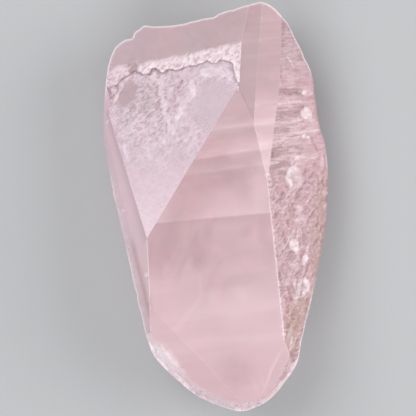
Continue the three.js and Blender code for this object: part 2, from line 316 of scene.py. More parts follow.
def even_steps(points, count):
    """`count` points at even steps along the closed line through the points."""
    closed = np.vstack([points, points[:1]])
    length = np.concatenate([[0], np.cumsum(np.linalg.norm(np.diff(closed, axis=0), axis=1))])
    place = np.linspace(0, length[-1], count, endpoint=False)
    return np.stack([np.interp(place, length, closed[:, k]) for k in (0, 1)], axis=1)


def nearest_on(path, x, y, closed=False):
    """For each point: its distance to the path (positive on the right of the path's way), the
    nearest point of the path and how far along the path that is, from 0 to 1."""
    start = path if closed else path[:-1]
    end = np.roll(path, -1, axis=0) if closed else path[1:]
    step = end - start
    length = np.linalg.norm(step, axis=1)
    before = np.concatenate([[0], np.cumsum(length)])
    results = []
    points = np.stack([x.ravel(), y.ravel()], axis=1)
    for some in np.array_split(points, max(1, len(points) // 3000)):
        away = some[:, None, :] - start[None]
        share = np.clip((away * step).sum(2) / length**2, 0, 1)
        gap = away - share[..., None] * step
        square = (gap**2).sum(2)
        best = square.argmin(1)
        rows = np.arange(len(some))
        share, gap = share[rows, best], gap[rows, best]
        side = step[best, 1] * gap[:, 0] - step[best, 0] * gap[:, 1]
        distance = np.sqrt(square[rows, best]) * np.where(side >= 0, 1, -1)
        along = (before[best] + share * length[best]) / before[-1]
        results.append(np.column_stack([distance, some - gap, along]))
    result = np.concatenate(results)
    return result[:, 0], result[:, 1:3], result[:, 3]


def distance_to(path, x, y):
    """The distance to a path, on either side."""
    return np.abs(nearest_on(np.array(path), x, y)[0])


def stroke(x, y, path, width):
    """1 on a path and fading as a bell beside it."""
    return bell(distance_to(path, x, y), width)


def strip_of(x, y, path, half, ragged=0.0):
    """1 within `half` of a path and 0 further off, over a border 0.25 wide that ragged moves."""
    return smooth((half + ragged - distance_to(path, x, y)) / 0.25 + 0.5)


def patch(x, y, middle, half, turn_deg=0.0, soft=0.35, ragged=0.0):
    """1 inside an ellipse and 0 outside, with a soft border; ragged is added to the distance."""
    along, across = turned(x - middle[0], y - middle[1], math.radians(turn_deg))
    return smooth((1 - np.hypot(along / half[0], across / half[1]) - ragged) / soft + 0.5)


def scoop(x, y, z, middle, half, turn=0.0):
    """Lowers z to the underside of an ellipsoid wherever z lies inside it: with r the distance
    from its middle over its half sizes in plan, the underside is middle - half * sqrt(1 - r^2)."""
    along, across = turned(x - middle[0], y - middle[1], turn)
    r2 = (along / half[0]) ** 2 + (across / half[1]) ** 2
    depth = half[2] * np.sqrt(np.clip(1 - r2, 0, 1))
    inside = (r2 < 1) & (z > middle[2] - depth) & (z < middle[2] + depth)
    return np.where(inside, middle[2] - depth, z)


def largest(fields):
    """The largest of the fields at each point."""
    return np.max(list(fields), axis=0)


# ---- The front: its facets -------------------------------------------------------------------


def above_slope(x, y):
    """The distance above the upper edge of the frosted slope; it is negative on the slope."""
    start, end = LEDGE_SLOPE_TOP
    nx, ny = right_of(end, start)
    return nx * (x - start[0]) + ny * (y - start[1])


def facet_heights(x, y, ledge):
    """Every facet's height at each point. The layer and the triangular face share one height: the
    layer thins along its frosted slope and ends in a step at ledge = 0, where the one gives way
    to the other; the step is wider on the left part."""
    heights = np.stack([height_on(PLANES[name], x, y) for name in NAMES])
    triangle, layer = NAMES.index("triangle"), NAMES.index("layer")
    thickness = heights[layer] - heights[triangle]
    thickness = thickness - LEDGE_SLOPE_FALL * np.maximum(-above_slope(x, y), 0)
    width = LEDGE_STEP + (LEFT_STEP - LEDGE_STEP) * ramp(x, LEFT_PART, LEFT_PART - 1.5)
    top = heights[triangle] + smooth(ledge / width + 0.5) * thickness
    heights[triangle] = np.where(ledge < 0, top, OUT_OF_REACH)
    heights[layer] = np.where(ledge < 0, OUT_OF_REACH, top)
    return heights


def front_fields(x, y):
    """What the shape and the finish both need at each point: the distances to the ledge and the
    terrace, the front's height, the two lowest facets in order, and the way and the plan distance
    to the edge that they share: the difference of their heights over that of their slopes."""
    ledge = -nearest_on(LEDGE, x, y)[0] + 0.07 * noise(x, y, 0.7, 25, 2)
    terrace = nearest_on(TERRACE, x, y)[0] + 0.08 * noise(x, y, 0.6, 26, 2)
    heights = facet_heights(x, y, ledge)
    order = np.argsort(heights, axis=0)[:2]
    lowest, second = np.take_along_axis(heights, order, axis=0)
    slopes = np.stack([PLANES[name][:2] for name in NAMES])
    towards = slopes[order[1]] - slopes[order[0]]
    steepness = np.linalg.norm(towards, axis=1)
    return SimpleNamespace(
        x=x, y=y, ledge=ledge, terrace=terrace, height=lowest, facet=order[0], order=order,
        towards=towards / steepness[:, None], edge=(second - lowest) / steepness,
    )


def beside(order, *names):
    """Where the two lowest facets include all of the named ones."""
    return np.all([(order == NAMES.index(name)).any(0) for name in names], axis=0)


# ---- The front: its relief -------------------------------------------------------------------

# The triangular face's thin skin: its raised strips, as a path and a half width, its bare and
# its dull patches, and scratches cut through it, as a path, a width and a depth.
SKIN_STRIPS = (
    (((-11.3, 23.6), (-9.8, 21.8), (-10.0, 20.5), (-9.2, 18.9), (-9.1, 16.8), (-8.7, 15.2)), 0.6),
    (((-8.3, 14.4), (-8.1, 13.6)), 0.7), (((-4.3, 22.0), (-4.3, 20.7), (-5.5, 18.9)), 0.7),
    (((-5.5, 18.9), (-6.2, 17.0), (-6.9, 15.7)), 0.5),
    (((-1.9, 24.0), (0.5, 24.4), (2.3, 23.6)), 0.9),
    (((-14.4, 14.2), (-13.9, 12.4)), 0.35), (((-16.5, 11.4), (-16.0, 8.9)), 0.3),
    (((-12.2, 10.8), (-11.9, 8.2)), 0.3), (((-9.9, 12.4), (-9.4, 11.5)), 0.4),
    (((-5.9, 12.6), (-5.4, 12.1)), 0.4), (((-6.8, 19.6), (-6.2, 18.6)), 0.4),
)
SKIN_BARE = (((-15.9, 20.2), (1.35, 2.7), -28, 1.0), ((-0.4, 18.0), (3.8, 4.6), -28, 0.9))
SKIN_DULL = (((-12.7, 19.4), (2.9, 3.6), -20, 1.0), ((-7.2, 19.2), (0.9, 2.6), -15, 0.7))
SCRATCHES = (
    (((-5.9, 22.7), (-6.8, 21.3)), 0.10, 0.12), (((-15.8, 15.6), (-16.3, 14.5)), 0.10, 0.10),
    (((-4.7, 27.8), (-5.0, 26.7)), 0.12, 0.12), (((-1.6, 28.5), (-1.8, 27.9)), 0.10, 0.10),
    (((-5.7, 25.4), (-6.1, 24.5)), 0.10, 0.12), (((-9.6, 21.4), (-8.9, 20.8)), 0.10, 0.08),
    (((1.2, 24.6), (1.8, 24.0)), 0.10, 0.08), (((-7.0, 25.6), (-6.4, 25.1)), 0.08, 0.08),
    (((-16.7, 15.0), (-15.9, 16.0)), 0.06, 0.04), (((-10.9, 20.6), (-10.5, 19.8)), 0.07, 0.04),
    (((-10.5, 19.1), (-10.3, 18.5)), 0.07, 0.04), (((-10.1, 17.6), (-9.9, 17.1)), 0.07, 0.04),
)
SKIN_GRAIN_DEG = 40


def skin_fields(x, y):
    """The skin's share over the face, its raised islands, bare and dull patches, and grain, which
    is value noise stretched 2.5 to 1 up to the right."""
    ragged = 0.3 * noise(x, y, 0.9, 11, 3)
    upper = smooth((y - 3.0) / 11.0 + ragged)
    strips = largest(strip_of(x, y, path, half, 2.2 * ragged) for path, half in SKIN_STRIPS)
    bare = largest(weight * patch(x, y, *one, 0.5, ragged) for *one, weight in SKIN_BARE)
    dull = largest(weight * patch(x, y, *one, 0.9, ragged) for *one, weight in SKIN_DULL)
    grain = stretched_noise(x, y, 0.5, 2.5, SKIN_GRAIN_DEG, 13)
    scattered = stretched_noise(x, y, 1.4, 1.6, SKIN_GRAIN_DEG, 12) - 0.02
    scattered = smooth(scattered * 7) * (1 - 0.6 * dull)
    islands = np.maximum(strips, 0.55 * scattered * (1 - bare))
    return upper, islands, bare, dull, grain


def triangle_skin(x, y, ledge):
    """The skin's height: raised islands with ragged borders and grain over the upper part,
    thinning out to a nearly smooth lower corner, and cut by the scratches."""
    upper, islands, bare, _, grain = skin_fields(x, y)
    skin = upper * (0.09 * islands + 0.05 * grain * (1 - 0.9 * bare))
    skin = skin * ramp(np.abs(ledge), 0, 0.25) * (ledge < 0)
    scratches = largest(depth * stroke(x, y, path, width) for path, width, depth in SCRATCHES)
    return skin - scratches + 0.006 * noise(x, y, 1.6, 14, 2)


def slope_share(x, y, ledge):
    """How far each point is on the ledge's frosted slope: ragged at its upper edge, and only
    right of the terrace."""
    edge = 0.45 - above_slope(x, y) + 0.35 * noise(x, y, 1.0, 23, 3)
    return ramp(ledge, 0, 0.12) * ramp(edge, 0, 0.9) * ramp(x, TERRACE_END, TERRACE_END + 0.4)


def ledge_frost(x, y, ledge):
    """The frosted slope: lumpy grain, a raised lip, and a groove along the foot of the step."""
    grain = 0.06 * noise(x, y, 0.8, 21, 3) + 0.04 * noise(x, y, 0.35, 22, 2)
    lip = 0.07 * bell(ledge - 0.3, 0.25)
    groove = 0.10 * bell(ledge + 0.12, 0.10) * ramp(x, TERRACE_END - 0.3, TERRACE_END + 0.7)
    return slope_share(x, y, ledge) * (grain + lip) - groove


def terrace_step(x, y, ledge, terrace):
    """The low terrace: below its line the layer lies lower by one step, and is lumpy."""
    lower = ramp(terrace, -0.1, 0.1) * ramp(ledge, 0, 0.2)
    return lower * (0.06 * noise(x, y, 0.7, 24, 3) - TERRACE_STEP)


RIB_LEAN = math.radians(7)
# Rib crests on the ribbed side: how far along the crystal, height and half width.
RIB_CRESTS = (
    (28.2, 0.04, 0.7), (26.4, 0.05, 0.6), (24.6, 0.08, 0.5), (22.3, 0.10, 0.7),
    (21.6, 0.05, 0.3), (19.6, 0.06, 0.4), (18.8, 0.10, 0.6), (18.0, 0.05, 0.3),
    (14.9, 0.10, 0.5), (12.6, 0.10, 0.4), (12.0, 0.08, 0.3), (11.2, 0.07, 0.3),
    (8.9, 0.08, 0.3), (6.6, 0.08, 0.4), (6.0, 0.05, 0.3), (3.6, 0.06, 0.5),
)


def rib_wave(along):
    """Ribs with a long rise and a short fall: for a crest at c with half width w the height is
    h * (1 - t)^1.5 above it, with t the distance over 2.2 w, and h * (1 - t) over 0.7 w below."""
    height = np.zeros_like(along)
    for crest, rise, width in RIB_CRESTS:
        above = np.clip(1 - (along - crest) / (2.2 * width), 0, 1) ** 1.5
        below = np.clip(1 - (crest - along) / (0.7 * width), 0, 1)
        height = np.maximum(height, rise * np.where(along > crest, above, below))
    return height


def along_ribs(x, y):
    """How far along the crystal a point lies, across the leaning and slightly wavy ribs."""
    wander = 0.30 * noise(x, y, 3.0, 31, 2) + 0.10 * noise(x, y, 0.9, 32, 1)
    return turned(x, y, RIB_LEAN)[1] + wander


def scale_field(x, y):
    """Scales: bands of warped ridged noise, 1 - |noise|, drawn out up to the right."""
    warp_x = x + 0.8 * noise(x, y, 2.0, 34, 2)
    warp_y = y + 0.8 * noise(x, y, 2.0, 35, 2)
    ridges = np.abs(stretched_noise(warp_x, warp_y, 0.9, 2.2, 50, 36))
    return np.clip(1 - 2.4 * ridges, 0, 1) ** 2


def ribbed_relief(x, y):
    """The ribbed side: ribs that lean across it and wander a little, scales further down, and
    low lumps all over."""
    along = along_ribs(x, y)
    low = ramp(along, 9, 3)
    ribs = rib_wave(along) * (0.8 + 0.6 * noise(x, y, 1.6, 33, 2))
    ribs = ribs + 0.02 * noise(x / 5, along, 0.35, 38, 2)
    lumps = 0.05 * noise(x, y, 1.8, 37, 3) - 0.05
    return (1 - 0.7 * low) * ribs + 0.10 * low * scale_field(x, y) + lumps


# Scars on the ribbed side: middle, half sizes, turn in degrees and depth.
SIDE_SCARS = (
    ((14.0, 5.2), (1.4, 2.0), 4, 0.22), ((15.9, 17.0), (1.0, 0.9), 35, 0.20),
    ((15.7, 20.5), (0.7, 0.5), 0, 0.14), ((16.3, 12.6), (0.9, 0.35), 15, 0.12),
    ((14.4, 8.3), (0.5, 0.9), -25, 0.14), ((14.8, -0.5), (0.7, 0.6), 10, 0.14),
    ((15.2, -2.7), (0.9, 0.8), 10, 0.16), ((13.6, -5.0), (0.5, 1.0), -20, 0.16),
    ((13.9, -7.1), (0.9, 1.2), 15, 0.22), ((16.1, -9.1), (0.7, 1.0), -15, 0.18),
    ((15.7, -14.3), (1.1, 1.6), -10, 0.22), ((14.0, -16.4), (0.5, 0.8), 30, 0.14),
    ((18.6, 5.6), (0.5, 0.9), 10, 0.14), ((13.2, -22.0), (0.5, 1.6), -12, 0.16),
    ((16.9, -18.5), (0.5, 1.0), 10, 0.14), ((12.4, 0.8), (0.6, 0.5), 30, 0.10),
)
SCAR_BORDER = 0.35  # moves the soft border of a scar in, to 1.15 of its half sizes
# Chips on the crest and other edges: middle and size.
CREST_CHIPS = (
    ((9.2, 5.9), 0.34), ((9.7, 5.4), 0.28), ((9.4, 4.9), 0.30), ((9.9, 4.4), 0.26),
    ((9.5, 4.0), 0.22), ((11.9, -21.3), 0.30), ((12.2, -21.9), 0.24), ((7.3, 13.6), 0.22),
    ((7.6, 11.8), 0.20), ((8.2, 10.0), 0.16), ((-12.3, -12.2), 0.26), ((-12.1, -14.0), 0.16),
    ((3.9, 20.9), 0.24), ((8.3, 33.8), 0.14), ((10.9, -13.6), 0.14), ((10.4, -9.0), 0.12),
)


def level_at(px, py):
    """The front's height without its relief at one point."""
    here = np.array([px]), np.array([py])
    return float(facet_heights(*here, -nearest_on(LEDGE, *here)[0]).min())


def scars(x, y, z, ragged):
    """Each scar is a shallow bowl with a ragged border, depth * smooth(1.15 - r), with r as in
    `scoop`; each chip is a scoop across its edge, turned by an angle of its own."""
    for *place, depth in SIDE_SCARS:
        z = z - depth * patch(x, y, *place, 1.0, ragged + SCAR_BORDER)
    for (px, py), size in CREST_CHIPS:
        middle = (px, py, level_at(px, py) + 0.35 * size)
        z = scoop(x, y, z, middle, (size, size * 1.3, size * 0.8), px)
    return z


CHIP_COUNT = 90
CHIP_SHARE = (0.36, 0.56)  # the stretch of the outline that the lower rim's chips take


def rim_chips(x, y, z, outline):
    """Chips along the lower rim: flat scoops on the outline, turned along it, of many sizes."""
    draw = np.random.default_rng(41)
    shares = draw.uniform(*CHIP_SHARE, CHIP_COUNT)
    sizes = 0.35 + 1.3 * draw.random(CHIP_COUNT) ** 2.2
    for share, size in zip(shares, sizes):
        index = int(share * len(outline)) % len(outline)
        px, py = outline[index]
        ahead = outline[(index + 3) % len(outline)] - outline[index]
        offset = 1 + draw.uniform(-0.06, 0.03) * size / 1.2
        middle = (px * offset, py * offset, level_at(px, py) + draw.uniform(0.25, 0.55) * size)
        half = (size * draw.uniform(0.8, 1.5), size * 0.75, size * 0.75)
        z = scoop(x, y, z, middle, half, math.atan2(ahead[1], ahead[0]))
    return z


PIT_COUNT = 45
PIT_DEPTH = 0.05
NAMED_PITS = ((-7.6, 8.4, 0.22), (-11.0, 8.1, 0.15), (-11.2, 1.6, 0.14), (-10.2, 0.7, 0.16))


def triangle_pits():
    """Small pits scattered over the triangular face, more of them in its rough part, and a few
    larger ones, each as (x, y, size)."""
    draw = np.random.default_rng(51)
    down = draw.random(PIT_COUNT) ** 1.4
    x = -9.5 + 14.0 * (draw.random(PIT_COUNT) - 0.5) * (1 - 0.8 * down)
    y = 23.0 - 27.0 * down
    sizes = 0.06 + 0.12 * draw.random(PIT_COUNT) ** 3
    return [*zip(x, y, sizes), *NAMED_PITS]


def near_pits(x, y):
    """1 in the middle of each pit, fading as a bell; the smallest are fainter."""
    share = np.zeros_like(x)
    for px, py, size in triangle_pits():
        near = (np.abs(x - px) < 3 * size) & (np.abs(y - py) < 3 * size)
        pit = bell(np.hypot(x[near] - px, y[near] - py), size) * min(1, size / 0.1)
        share[near] = np.maximum(share[near], pit)
    return share


# How deep the wear is at the facets' edges and along the outline.
EDGE_WEAR = 0.03
RIM_WEAR = 0.06


def front_height(x, y, inwards, outline):
    """The lowest facet at each point, with its relief, which fades towards the facet's edge, worn
    edges, scars and chips; and what the scars and chips took away."""
    at = front_fields(x, y)
    fade = ramp(at.edge, 0, 0.5)
    share = {name: np.where(at.facet == i, fade, 0.0) for i, name in enumerate(NAMES)}
    near_triangle = share["triangle"] + share["layer"]
    z = at.height + near_triangle * (triangle_skin(x, y, at.ledge) + ledge_frost(x, y, at.ledge))
    z = z + share["layer"] * terrace_step(x, y, at.ledge, at.terrace)
    z = z + (share["ribbed"] + share["ribbed_top"]) * ribbed_relief(x, y)
    z = z - EDGE_WEAR * (0.5 + 0.5 * noise(x, y, 1.2, 61, 2)) * bell(at.edge, 0.15)
    z = z - RIM_WEAR * np.exp(-inwards / 0.1)
    z = z - PIT_DEPTH * near_pits(x, y) * share["triangle"]
    whole = z
    z = scars(x, y, z, 0.35 * noise(x, y, 0.7, 39, 2))
    z = rim_chips(x, y, z, outline)
    return np.minimum(z, MAIN_FACE_HEIGHT - 0.01), whole - z


# ---- The front: its finish -------------------------------------------------------------------
# Places and widths are in millimetres, and strengths are shares from 0 to 1.

# Sheets of fine bubbles seen through the main face: start, end, fade above and below, strength.
VEILS = (
    ((-10.0, -2.7), (9.6, -0.9), 7.5, 0.25, 0.5), ((-2.5, 6.2), (8.5, 7.7), 2.2, 0.5, 0.18),
    ((-1.4, 9.1), (8.2, 10.4), 2.4, 0.5, 0.30), ((-1.8, 13.7), (7.1, 14.8), 1.2, 0.7, 0.36),
)
# Places: middle, half sizes, turn in degrees and softness.
VEIL_GAP = ((-5.0, 1.0), (3.4, 5.0), -31, 1.2)  # where the sheets are fainter
LOWER_CLOUD = ((0, -20), (11, 6), 8, 1.6)
SLANTS = ((-3, -7), (8, 8), 0, 1)  # where slanting streaks show under the main face
TAN_PATCHES = (((18.3, -4.0), (1.2, 11.0), -5, 0.9), ((14.7, -20.8), (2.6, 7.5), -14, 1))
GRAINY_SPOT = ((-14.9, 25.1), (0.9, 1.5), 15, 0.5)  # on the left part of the layer
ROUGH_SKIN = ((-12.0, 19.5), (5.0, 7.0), 0, 1)
LOWER_CHIPS = ((-9.1, -28.0), (1.9, 4.6), 40, 0.9)
# Paler clouds inside the main face: middle, half sizes, turn in degrees, strength.
GLOWS = (
    ((5.3, 10.8), (4.4, 1.9), 8, 0.22), ((8.3, 4.6), (1.9, 4.2), -8, 0.30),
    ((3.5, -4.6), (8.0, 3.6), 4, 0.14),
)
# Smoky patches under the main face: middle, half sizes, turn in degrees, strength.
SMOKES = (
    ((0.9, 8.4), (1.8, 0.9), 5, 0.40), ((0.3, 4.8), (4.2, 1.6), 6, 0.40),
    ((-0.9, -4.3), (0.9, 2.0), -8, 0.35), ((-3.4, -8.6), (1.3, 3.0), -12, 0.40),
    ((-8.6, -6.5), (1.8, 4.2), -16, 0.35), ((5.5, -4.6), (1.6, 1.0), 30, 0.30),
    ((8.6, -4.3), (1.0, 1.8), -10, 0.30), ((3.0, -13.4), (4.0, 1.2), 10, 0.28),
    ((3.5, -29.5), (2.9, 2.8), 0, 0.40), ((-10.5, -9), (1.4, 4.0), 0, 0.25),
)
# Light streaks inside: path, width and strength.
STREAKS = (
    (((-4.4, -9.0), (-4.9, -11.0)), 0.4, 0.08), (((-6.6, -6.8), (-9.2, -11.6)), 0.5, 0.08),
    (((-3.0, -16.6), (-7.2, -21.8)), 0.5, 0.10), (((6.6, -31.0), (7.4, -33.0)), 0.4, 0.08),
    (((8.0, -30.2), (8.9, -32.4)), 0.4, 0.08), (((-2.9, -12.0), (-2.6, -16.8)), 0.4, 0.08),
    (((12.2, -25.2), (9.9, -29.0), (8.6, -33.4)), 0.3, 0.25),
)
# Warm tints by facet: middle, half sizes, turn in degrees, strength.
WARM_PATCHES = {
    "main": (
        ((-3.0, 6.5), (1.8, 9.5), -31, 0.25), ((-5.3, -3.2), (0.7, 2.6), -8, 0.2),
        ((2.1, -27.8), (0.6, 1.0), 0, 0.2),
    ),
    "bevel": (((9.9, 32.5), (2.5, 3.6), 0, 0.2),),
}
# Dark rows on the ribbed side, between its ribs: path, half width, strength.
DARK_ROWS = (
    (((11.4, 20.6), (15.0, 20.8)), 0.60, 0.85), (((11.1, 16.2), (14.7, 16.7)), 0.90, 0.80),
    (((10.9, 17.6), (15.9, 18.1)), 0.16, 0.50), (((10.6, 13.7), (12.7, 14.0)), 0.55, 0.75),
    (((14.8, 13.9), (15.7, 14.1)), 0.35, 0.50), (((10.3, 9.8), (11.5, 10.0)), 0.85, 0.90),
    (((12.9, 10.2), (15.1, 10.6)), 0.65, 0.50), (((9.8, 8.2), (11.5, 8.4)), 0.13, 0.70),
    (((11.8, 7.6), (13.1, 8.0)), 0.50, 0.70), (((9.9, 6.9), (11.3, 7.2)), 0.50, 0.80),
    (((10.2, 5.2), (12.0, 5.4)), 1.05, 0.50), (((10.9, 0.9), (11.7, 1.1)), 0.50, 0.35),
    (((13.4, 0.1), (13.6, -1.5)), 0.50, 0.45), (((10.1, -1.9), (10.9, -1.0)), 0.22, 0.60),
    (((16.0, -4.1), (15.8, -6.6)), 0.45, 0.40), (((12.4, 1.0), (11.6, 0.2)), 0.20, 0.50),
    (((12.2, -19.5), (12.6, -22.3)), 0.22, 0.50), (((13.0, -18.2), (13.2, -20.0)), 0.18, 0.45),
    (((13.7, -26.4), (14.0, -27.2)), 0.30, 0.40),
)
# White lines on the ribbed side: path, width, strength.
WHITE_LINES = (
    (((10.4, 13.0), (15.1, 13.5), (18.6, 13.9)), 0.18, 0.6),
    (((10.1, 12.3), (15.1, 12.6)), 0.10, 0.6),
    (((10.2, 11.6), (13.3, 12.0)), 0.10, 0.5), (((12.0, 11.1), (12.9, 11.7)), 0.12, 0.9),
    (((9.9, 8.6), (11.5, 8.7)), 0.09, 0.7), (((9.8, 7.9), (11.3, 8.0)), 0.08, 0.8),
    (((9.9, 6.5), (12.2, 6.9)), 0.10, 0.6), (((13.7, 7.3), (15.1, 7.9), (18.3, 9.2)), 0.10, 0.7),
    (((15.1, 8.4), (18.7, 9.9)), 0.08, 0.5), (((13.3, 8.8), (14.5, 9.2), (16.0, 9.0)), 0.14, 0.9),
    (((13.9, 8.2), (14.7, 9.0)), 0.14, 1.0), (((13.4, 8.6), (13.7, 7.3)), 0.08, 0.7),
    (((11.0, 18.5), (15.2, 19.0)), 0.30, 0.4), (((11.0, 15.0), (17.3, 15.7)), 0.40, 0.25),
    (((12.7, 0.4), (11.0, -2.0), (10.8, -2.8)), 0.10, 0.6),
    (((13.8, -4.1), (12.2, -7.4)), 0.14, 0.7),
    (((14.7, -3.6), (14.6, -7.6)), 0.10, 0.6), (((15.3, -4.3), (15.5, -6.3)), 0.12, 0.5),
    (((14.6, -10.1), (13.5, -10.6)), 0.10, 0.6), (((14.9, -11.3), (14.9, -13.1)), 0.08, 0.7),
    (((13.9, -16.4), (14.6, -16.2), (15.8, -16.0)), 0.12, 1.0),
    (((14.3, -15.9), (14.9, -12.9)), 0.09, 0.7),
    (((12.8, 27.0), (14.0, 25.2)), 0.10, 0.7), (((13.3, -18.4), (13.0, -20.6)), 0.14, 0.5),
    (((13.6, -23.3), (13.3, -25.5)), 0.18, 0.7),
)
# White bruises and chips: middle, half sizes, turn in degrees, how hollow, strength.
BRUISES = (
    ((14.1, 5.2), (1.60, 2.10), -4, 0.65, 0.95), ((16.2, 16.6), (1.10, 0.70), -20, 0.0, 1.0),
    ((16.2, 17.4), (0.35, 0.75), 10, 0.0, 0.9), ((16.9, 17.1), (0.30, 0.75), 25, 0.0, 0.9),
    ((15.1, 16.0), (0.55, 0.45), 0, 0.4, 0.6), ((15.9, 20.55), (0.42, 0.36), 10, 0.0, 1.0),
    ((15.1, 20.6), (0.40, 0.50), 0, 0.5, 0.6), ((17.1, 20.6), (0.40, 0.30), 0, 0.0, 0.7),
    ((15.9, 12.75), (0.40, 0.30), 0, 0.0, 1.0), ((16.6, 12.6), (0.32, 0.24), 0, 0.0, 1.0),
    ((19.1, 7.9), (0.40, 1.30), 0, 0.0, 0.6), ((16.35, 2.7), (0.34, 0.26), 0, 0.0, 1.0),
    ((14.9, -0.5), (0.75, 0.85), 0, 0.4, 0.45), ((14.9, -2.4), (0.70, 0.80), 0, 0.9, 0.6),
    ((13.9, -6.7), (0.75, 1.10), 0, 0.0, 0.9), ((14.4, -7.8), (0.50, 0.75), 20, 0.0, 0.8),
    ((16.0, -9.2), (0.45, 1.05), -12, 0.0, 0.9), ((16.5, -7.6), (0.30, 1.10), -8, 0.0, 0.5),
    ((16.1, -13.3), (0.38, 0.62), 8, 0.0, 0.85), ((16.6, -14.6), (0.34, 0.90), -4, 0.0, 0.8),
    ((15.9, -15.2), (0.30, 0.70), 0, 0.0, 0.7), ((15.0, -14.4), (0.34, 1.45), -8, 0.3, 0.7),
    ((14.1, -13.8), (0.28, 0.80), 4, 0.0, 0.6), ((9.35, 5.8), (0.32, 0.34), 20, 0.0, 1.0),
    ((9.5, 5.0), (0.36, 0.30), 0, 0.0, 1.0), ((9.3, 4.2), (0.28, 0.26), 0, 0.0, 0.8),
    ((12.2, -22.7), (0.40, 0.26), -30, 0.0, 1.0), ((13.1, -3.9), (0.25, 0.22), 0, 0.0, 0.7),
    ((-19.5, 15.3), (0.18, 0.42), -35, 0.0, 0.7), ((-16.6, -0.7), (0.28, 0.32), 0, 0.0, 0.6),
    ((-12.4, -12.1), (0.24, 0.42), 0, 0.0, 1.0), ((3.9, 21.3), (0.22, 0.24), 0, 0.0, 0.7),
)
# Paths: a shaded line inside on the lower left, and the grainy strip along the tip.
LOWER_LEFT_SHADE = ((-12.0, -15.8), (-11.1, -22.4))
RIM_GRAIN = ((-4.6, -32.4), (0.8, -35.2), (4.6, -35.9), (8.6, -34.7))
# Where the painted highlight line along the outline fades: middle, half sizes, turn in degrees.
RIM_HIGHLIGHT_GAPS = (
    ((19.3, -4.5), (2.6, 11.0), -5), ((-20.0, 12.0), (2.2, 8.0), 5), ((-17.6, -3.5), (1.5, 5), 12),
    ((18.6, 17.0), (2.2, 9.0), 0),
)
# How bright the painted highlight line along an edge is, for each pair of facets; other pairs take the
# value below.
PAINTED_EDGE_HIGHLIGHTS = {
    ("main", "ribbed"): 0.8, ("main", "left"): 0.7, ("triangle", "left"): 0.35,
    ("upper", "bevel"): 0.06, ("main", "bevel"): 0.35, ("main", "lower_left"): 0.10,
    ("main", "lower_right"): 0.14, ("main", "triangle"): 0.25, ("layer", "upper"): 0.2,
    ("left", "outer_left"): 0.1, ("bevel", "ribbed"): 0.1, ("main", "upper"): 0.0,
    ("triangle", "layer"): 0.0, ("ribbed", "ribbed_top"): 0.0, ("bevel", "ribbed_top"): 0.05,
}
PAINTED_EDGE_HIGHLIGHT = 0.3


def line_veil(x, y, start, end, above, below):
    """1 along a line and fading linearly over `above` and `below` on its two sides."""
    nx, ny = right_of(end, start)
    up = nx * (x - start[0]) + ny * (y - start[1])
    return np.clip(1 - np.maximum(up / above, -up / below), 0, 1)


def bruise(x, y, spot, half, turn, hollow, broken):
    """A white spot with a broken border; a hollow one is fainter right of its middle."""
    ragged = broken / min(half)
    whole = patch(x, y, spot, half, turn, 0.3, ragged)
    inner_half = (0.8 * half[0], 0.8 * half[1])
    inner = patch(x, y, (spot[0] + 0.45 * half[0], spot[1]), inner_half, turn, 0.35, ragged)
    return whole * (1 - hollow * inner)


def painted_edge_highlight(order):
    """How bright the painted highlight line along the edge of each point's two facets is; the rim's
    have none.
    """
    strength = np.full(order.shape[1], PAINTED_EDGE_HIGHLIGHT)
    for pair, value in PAINTED_EDGE_HIGHLIGHTS.items():
        strength[beside(order, *pair)] = value
    strength[(NAMES.index("rim_0") <= order).any(0)] = 0
    return strength


def front_marks(x, y, inwards, lost):
    """The fields that the finishes of several facets share: `front_fields`, the distance from the
    outline, mottles, places that wander a little, chipped places, bruises and the white lip on
    the left part of the ledge, which is partly frost and partly a painted highlight."""
    at = front_fields(x, y)
    at.inwards = inwards
    at.ragged = 0.3 * noise(x, y, 0.9, 80, 3)
    at.mottle = smooth(0.5 + 0.9 * noise(x, y, 1.0, 81, 3))
    at.speckle = smooth(0.5 + 1.2 * noise(x, y, 0.45, 83, 2))
    at.grain = stretched_noise(x, y, 0.5, 2.5, SKIN_GRAIN_DEG, 13)
    at.wander_x = x + 1.3 * noise(x, y, 4.0, 86, 2)
    at.wander_y = y + 1.0 * noise(x, y, 4.0, 87, 2)
    at.chipped = np.clip(lost / 0.07, 0, 1)
    broken = 0.13 * noise(x, y, 0.55, 91, 3)
    at.bruises = largest(strength * bruise(x, y, *spot, broken) for *spot, strength in BRUISES)
    at.left_part = ramp(x, LEFT_PART, LEFT_PART - 0.5)
    # The left lip is partly frost and partly a painted highlight on the ridge.
    at.left_lip = 0.55 * bell(at.ledge, 0.35) * at.left_part * (0.5 + 0.5 * at.mottle)
    return at


def skin_finish(at):
    """The triangular face: pale islands of skin with painted shade along their borders, dull and
    bare patches between them and a fine grain, all of which thin out towards the smooth milky
    lower corner; its lilac tint is partly a painted sheen."""
    upper, islands, bare, dull, grain = skin_fields(at.x, at.y)
    pale = 0.07 + (0.34 + 0.20 * at.mottle) * islands + 0.26 * smooth(2 * grain) * (1 - bare)
    frost = upper * pale * (1 - 0.5 * dull) + 0.12 * (1 - upper) * at.speckle
    border = 4 * islands * (1 - islands)
    # The border term is painted shade along the islands' raised edges.
    dark = 0.05 + 0.25 * dull + 0.16 * smooth(-2.5 * grain) * (1 - bare) + 0.26 * border
    bare_shade = np.where(at.x < -12, 0.95, 0.20) * bare
    rough = (0.36 + 0.40 * patch(at.x, at.y, *ROUGH_SKIN)) * (1 - bare) * (1 - 0.7 * islands)
    # The lilac here is partly a painted sheen.
    return {
        "frost": frost + at.left_lip, "smoke_and_shade": upper * dark + bare_shade,
        "veil": 0.5 * ramp(at.y, 9, -5), "lilac_and_sheen": 1.0, "grain": upper * rough + 0.1,
    }


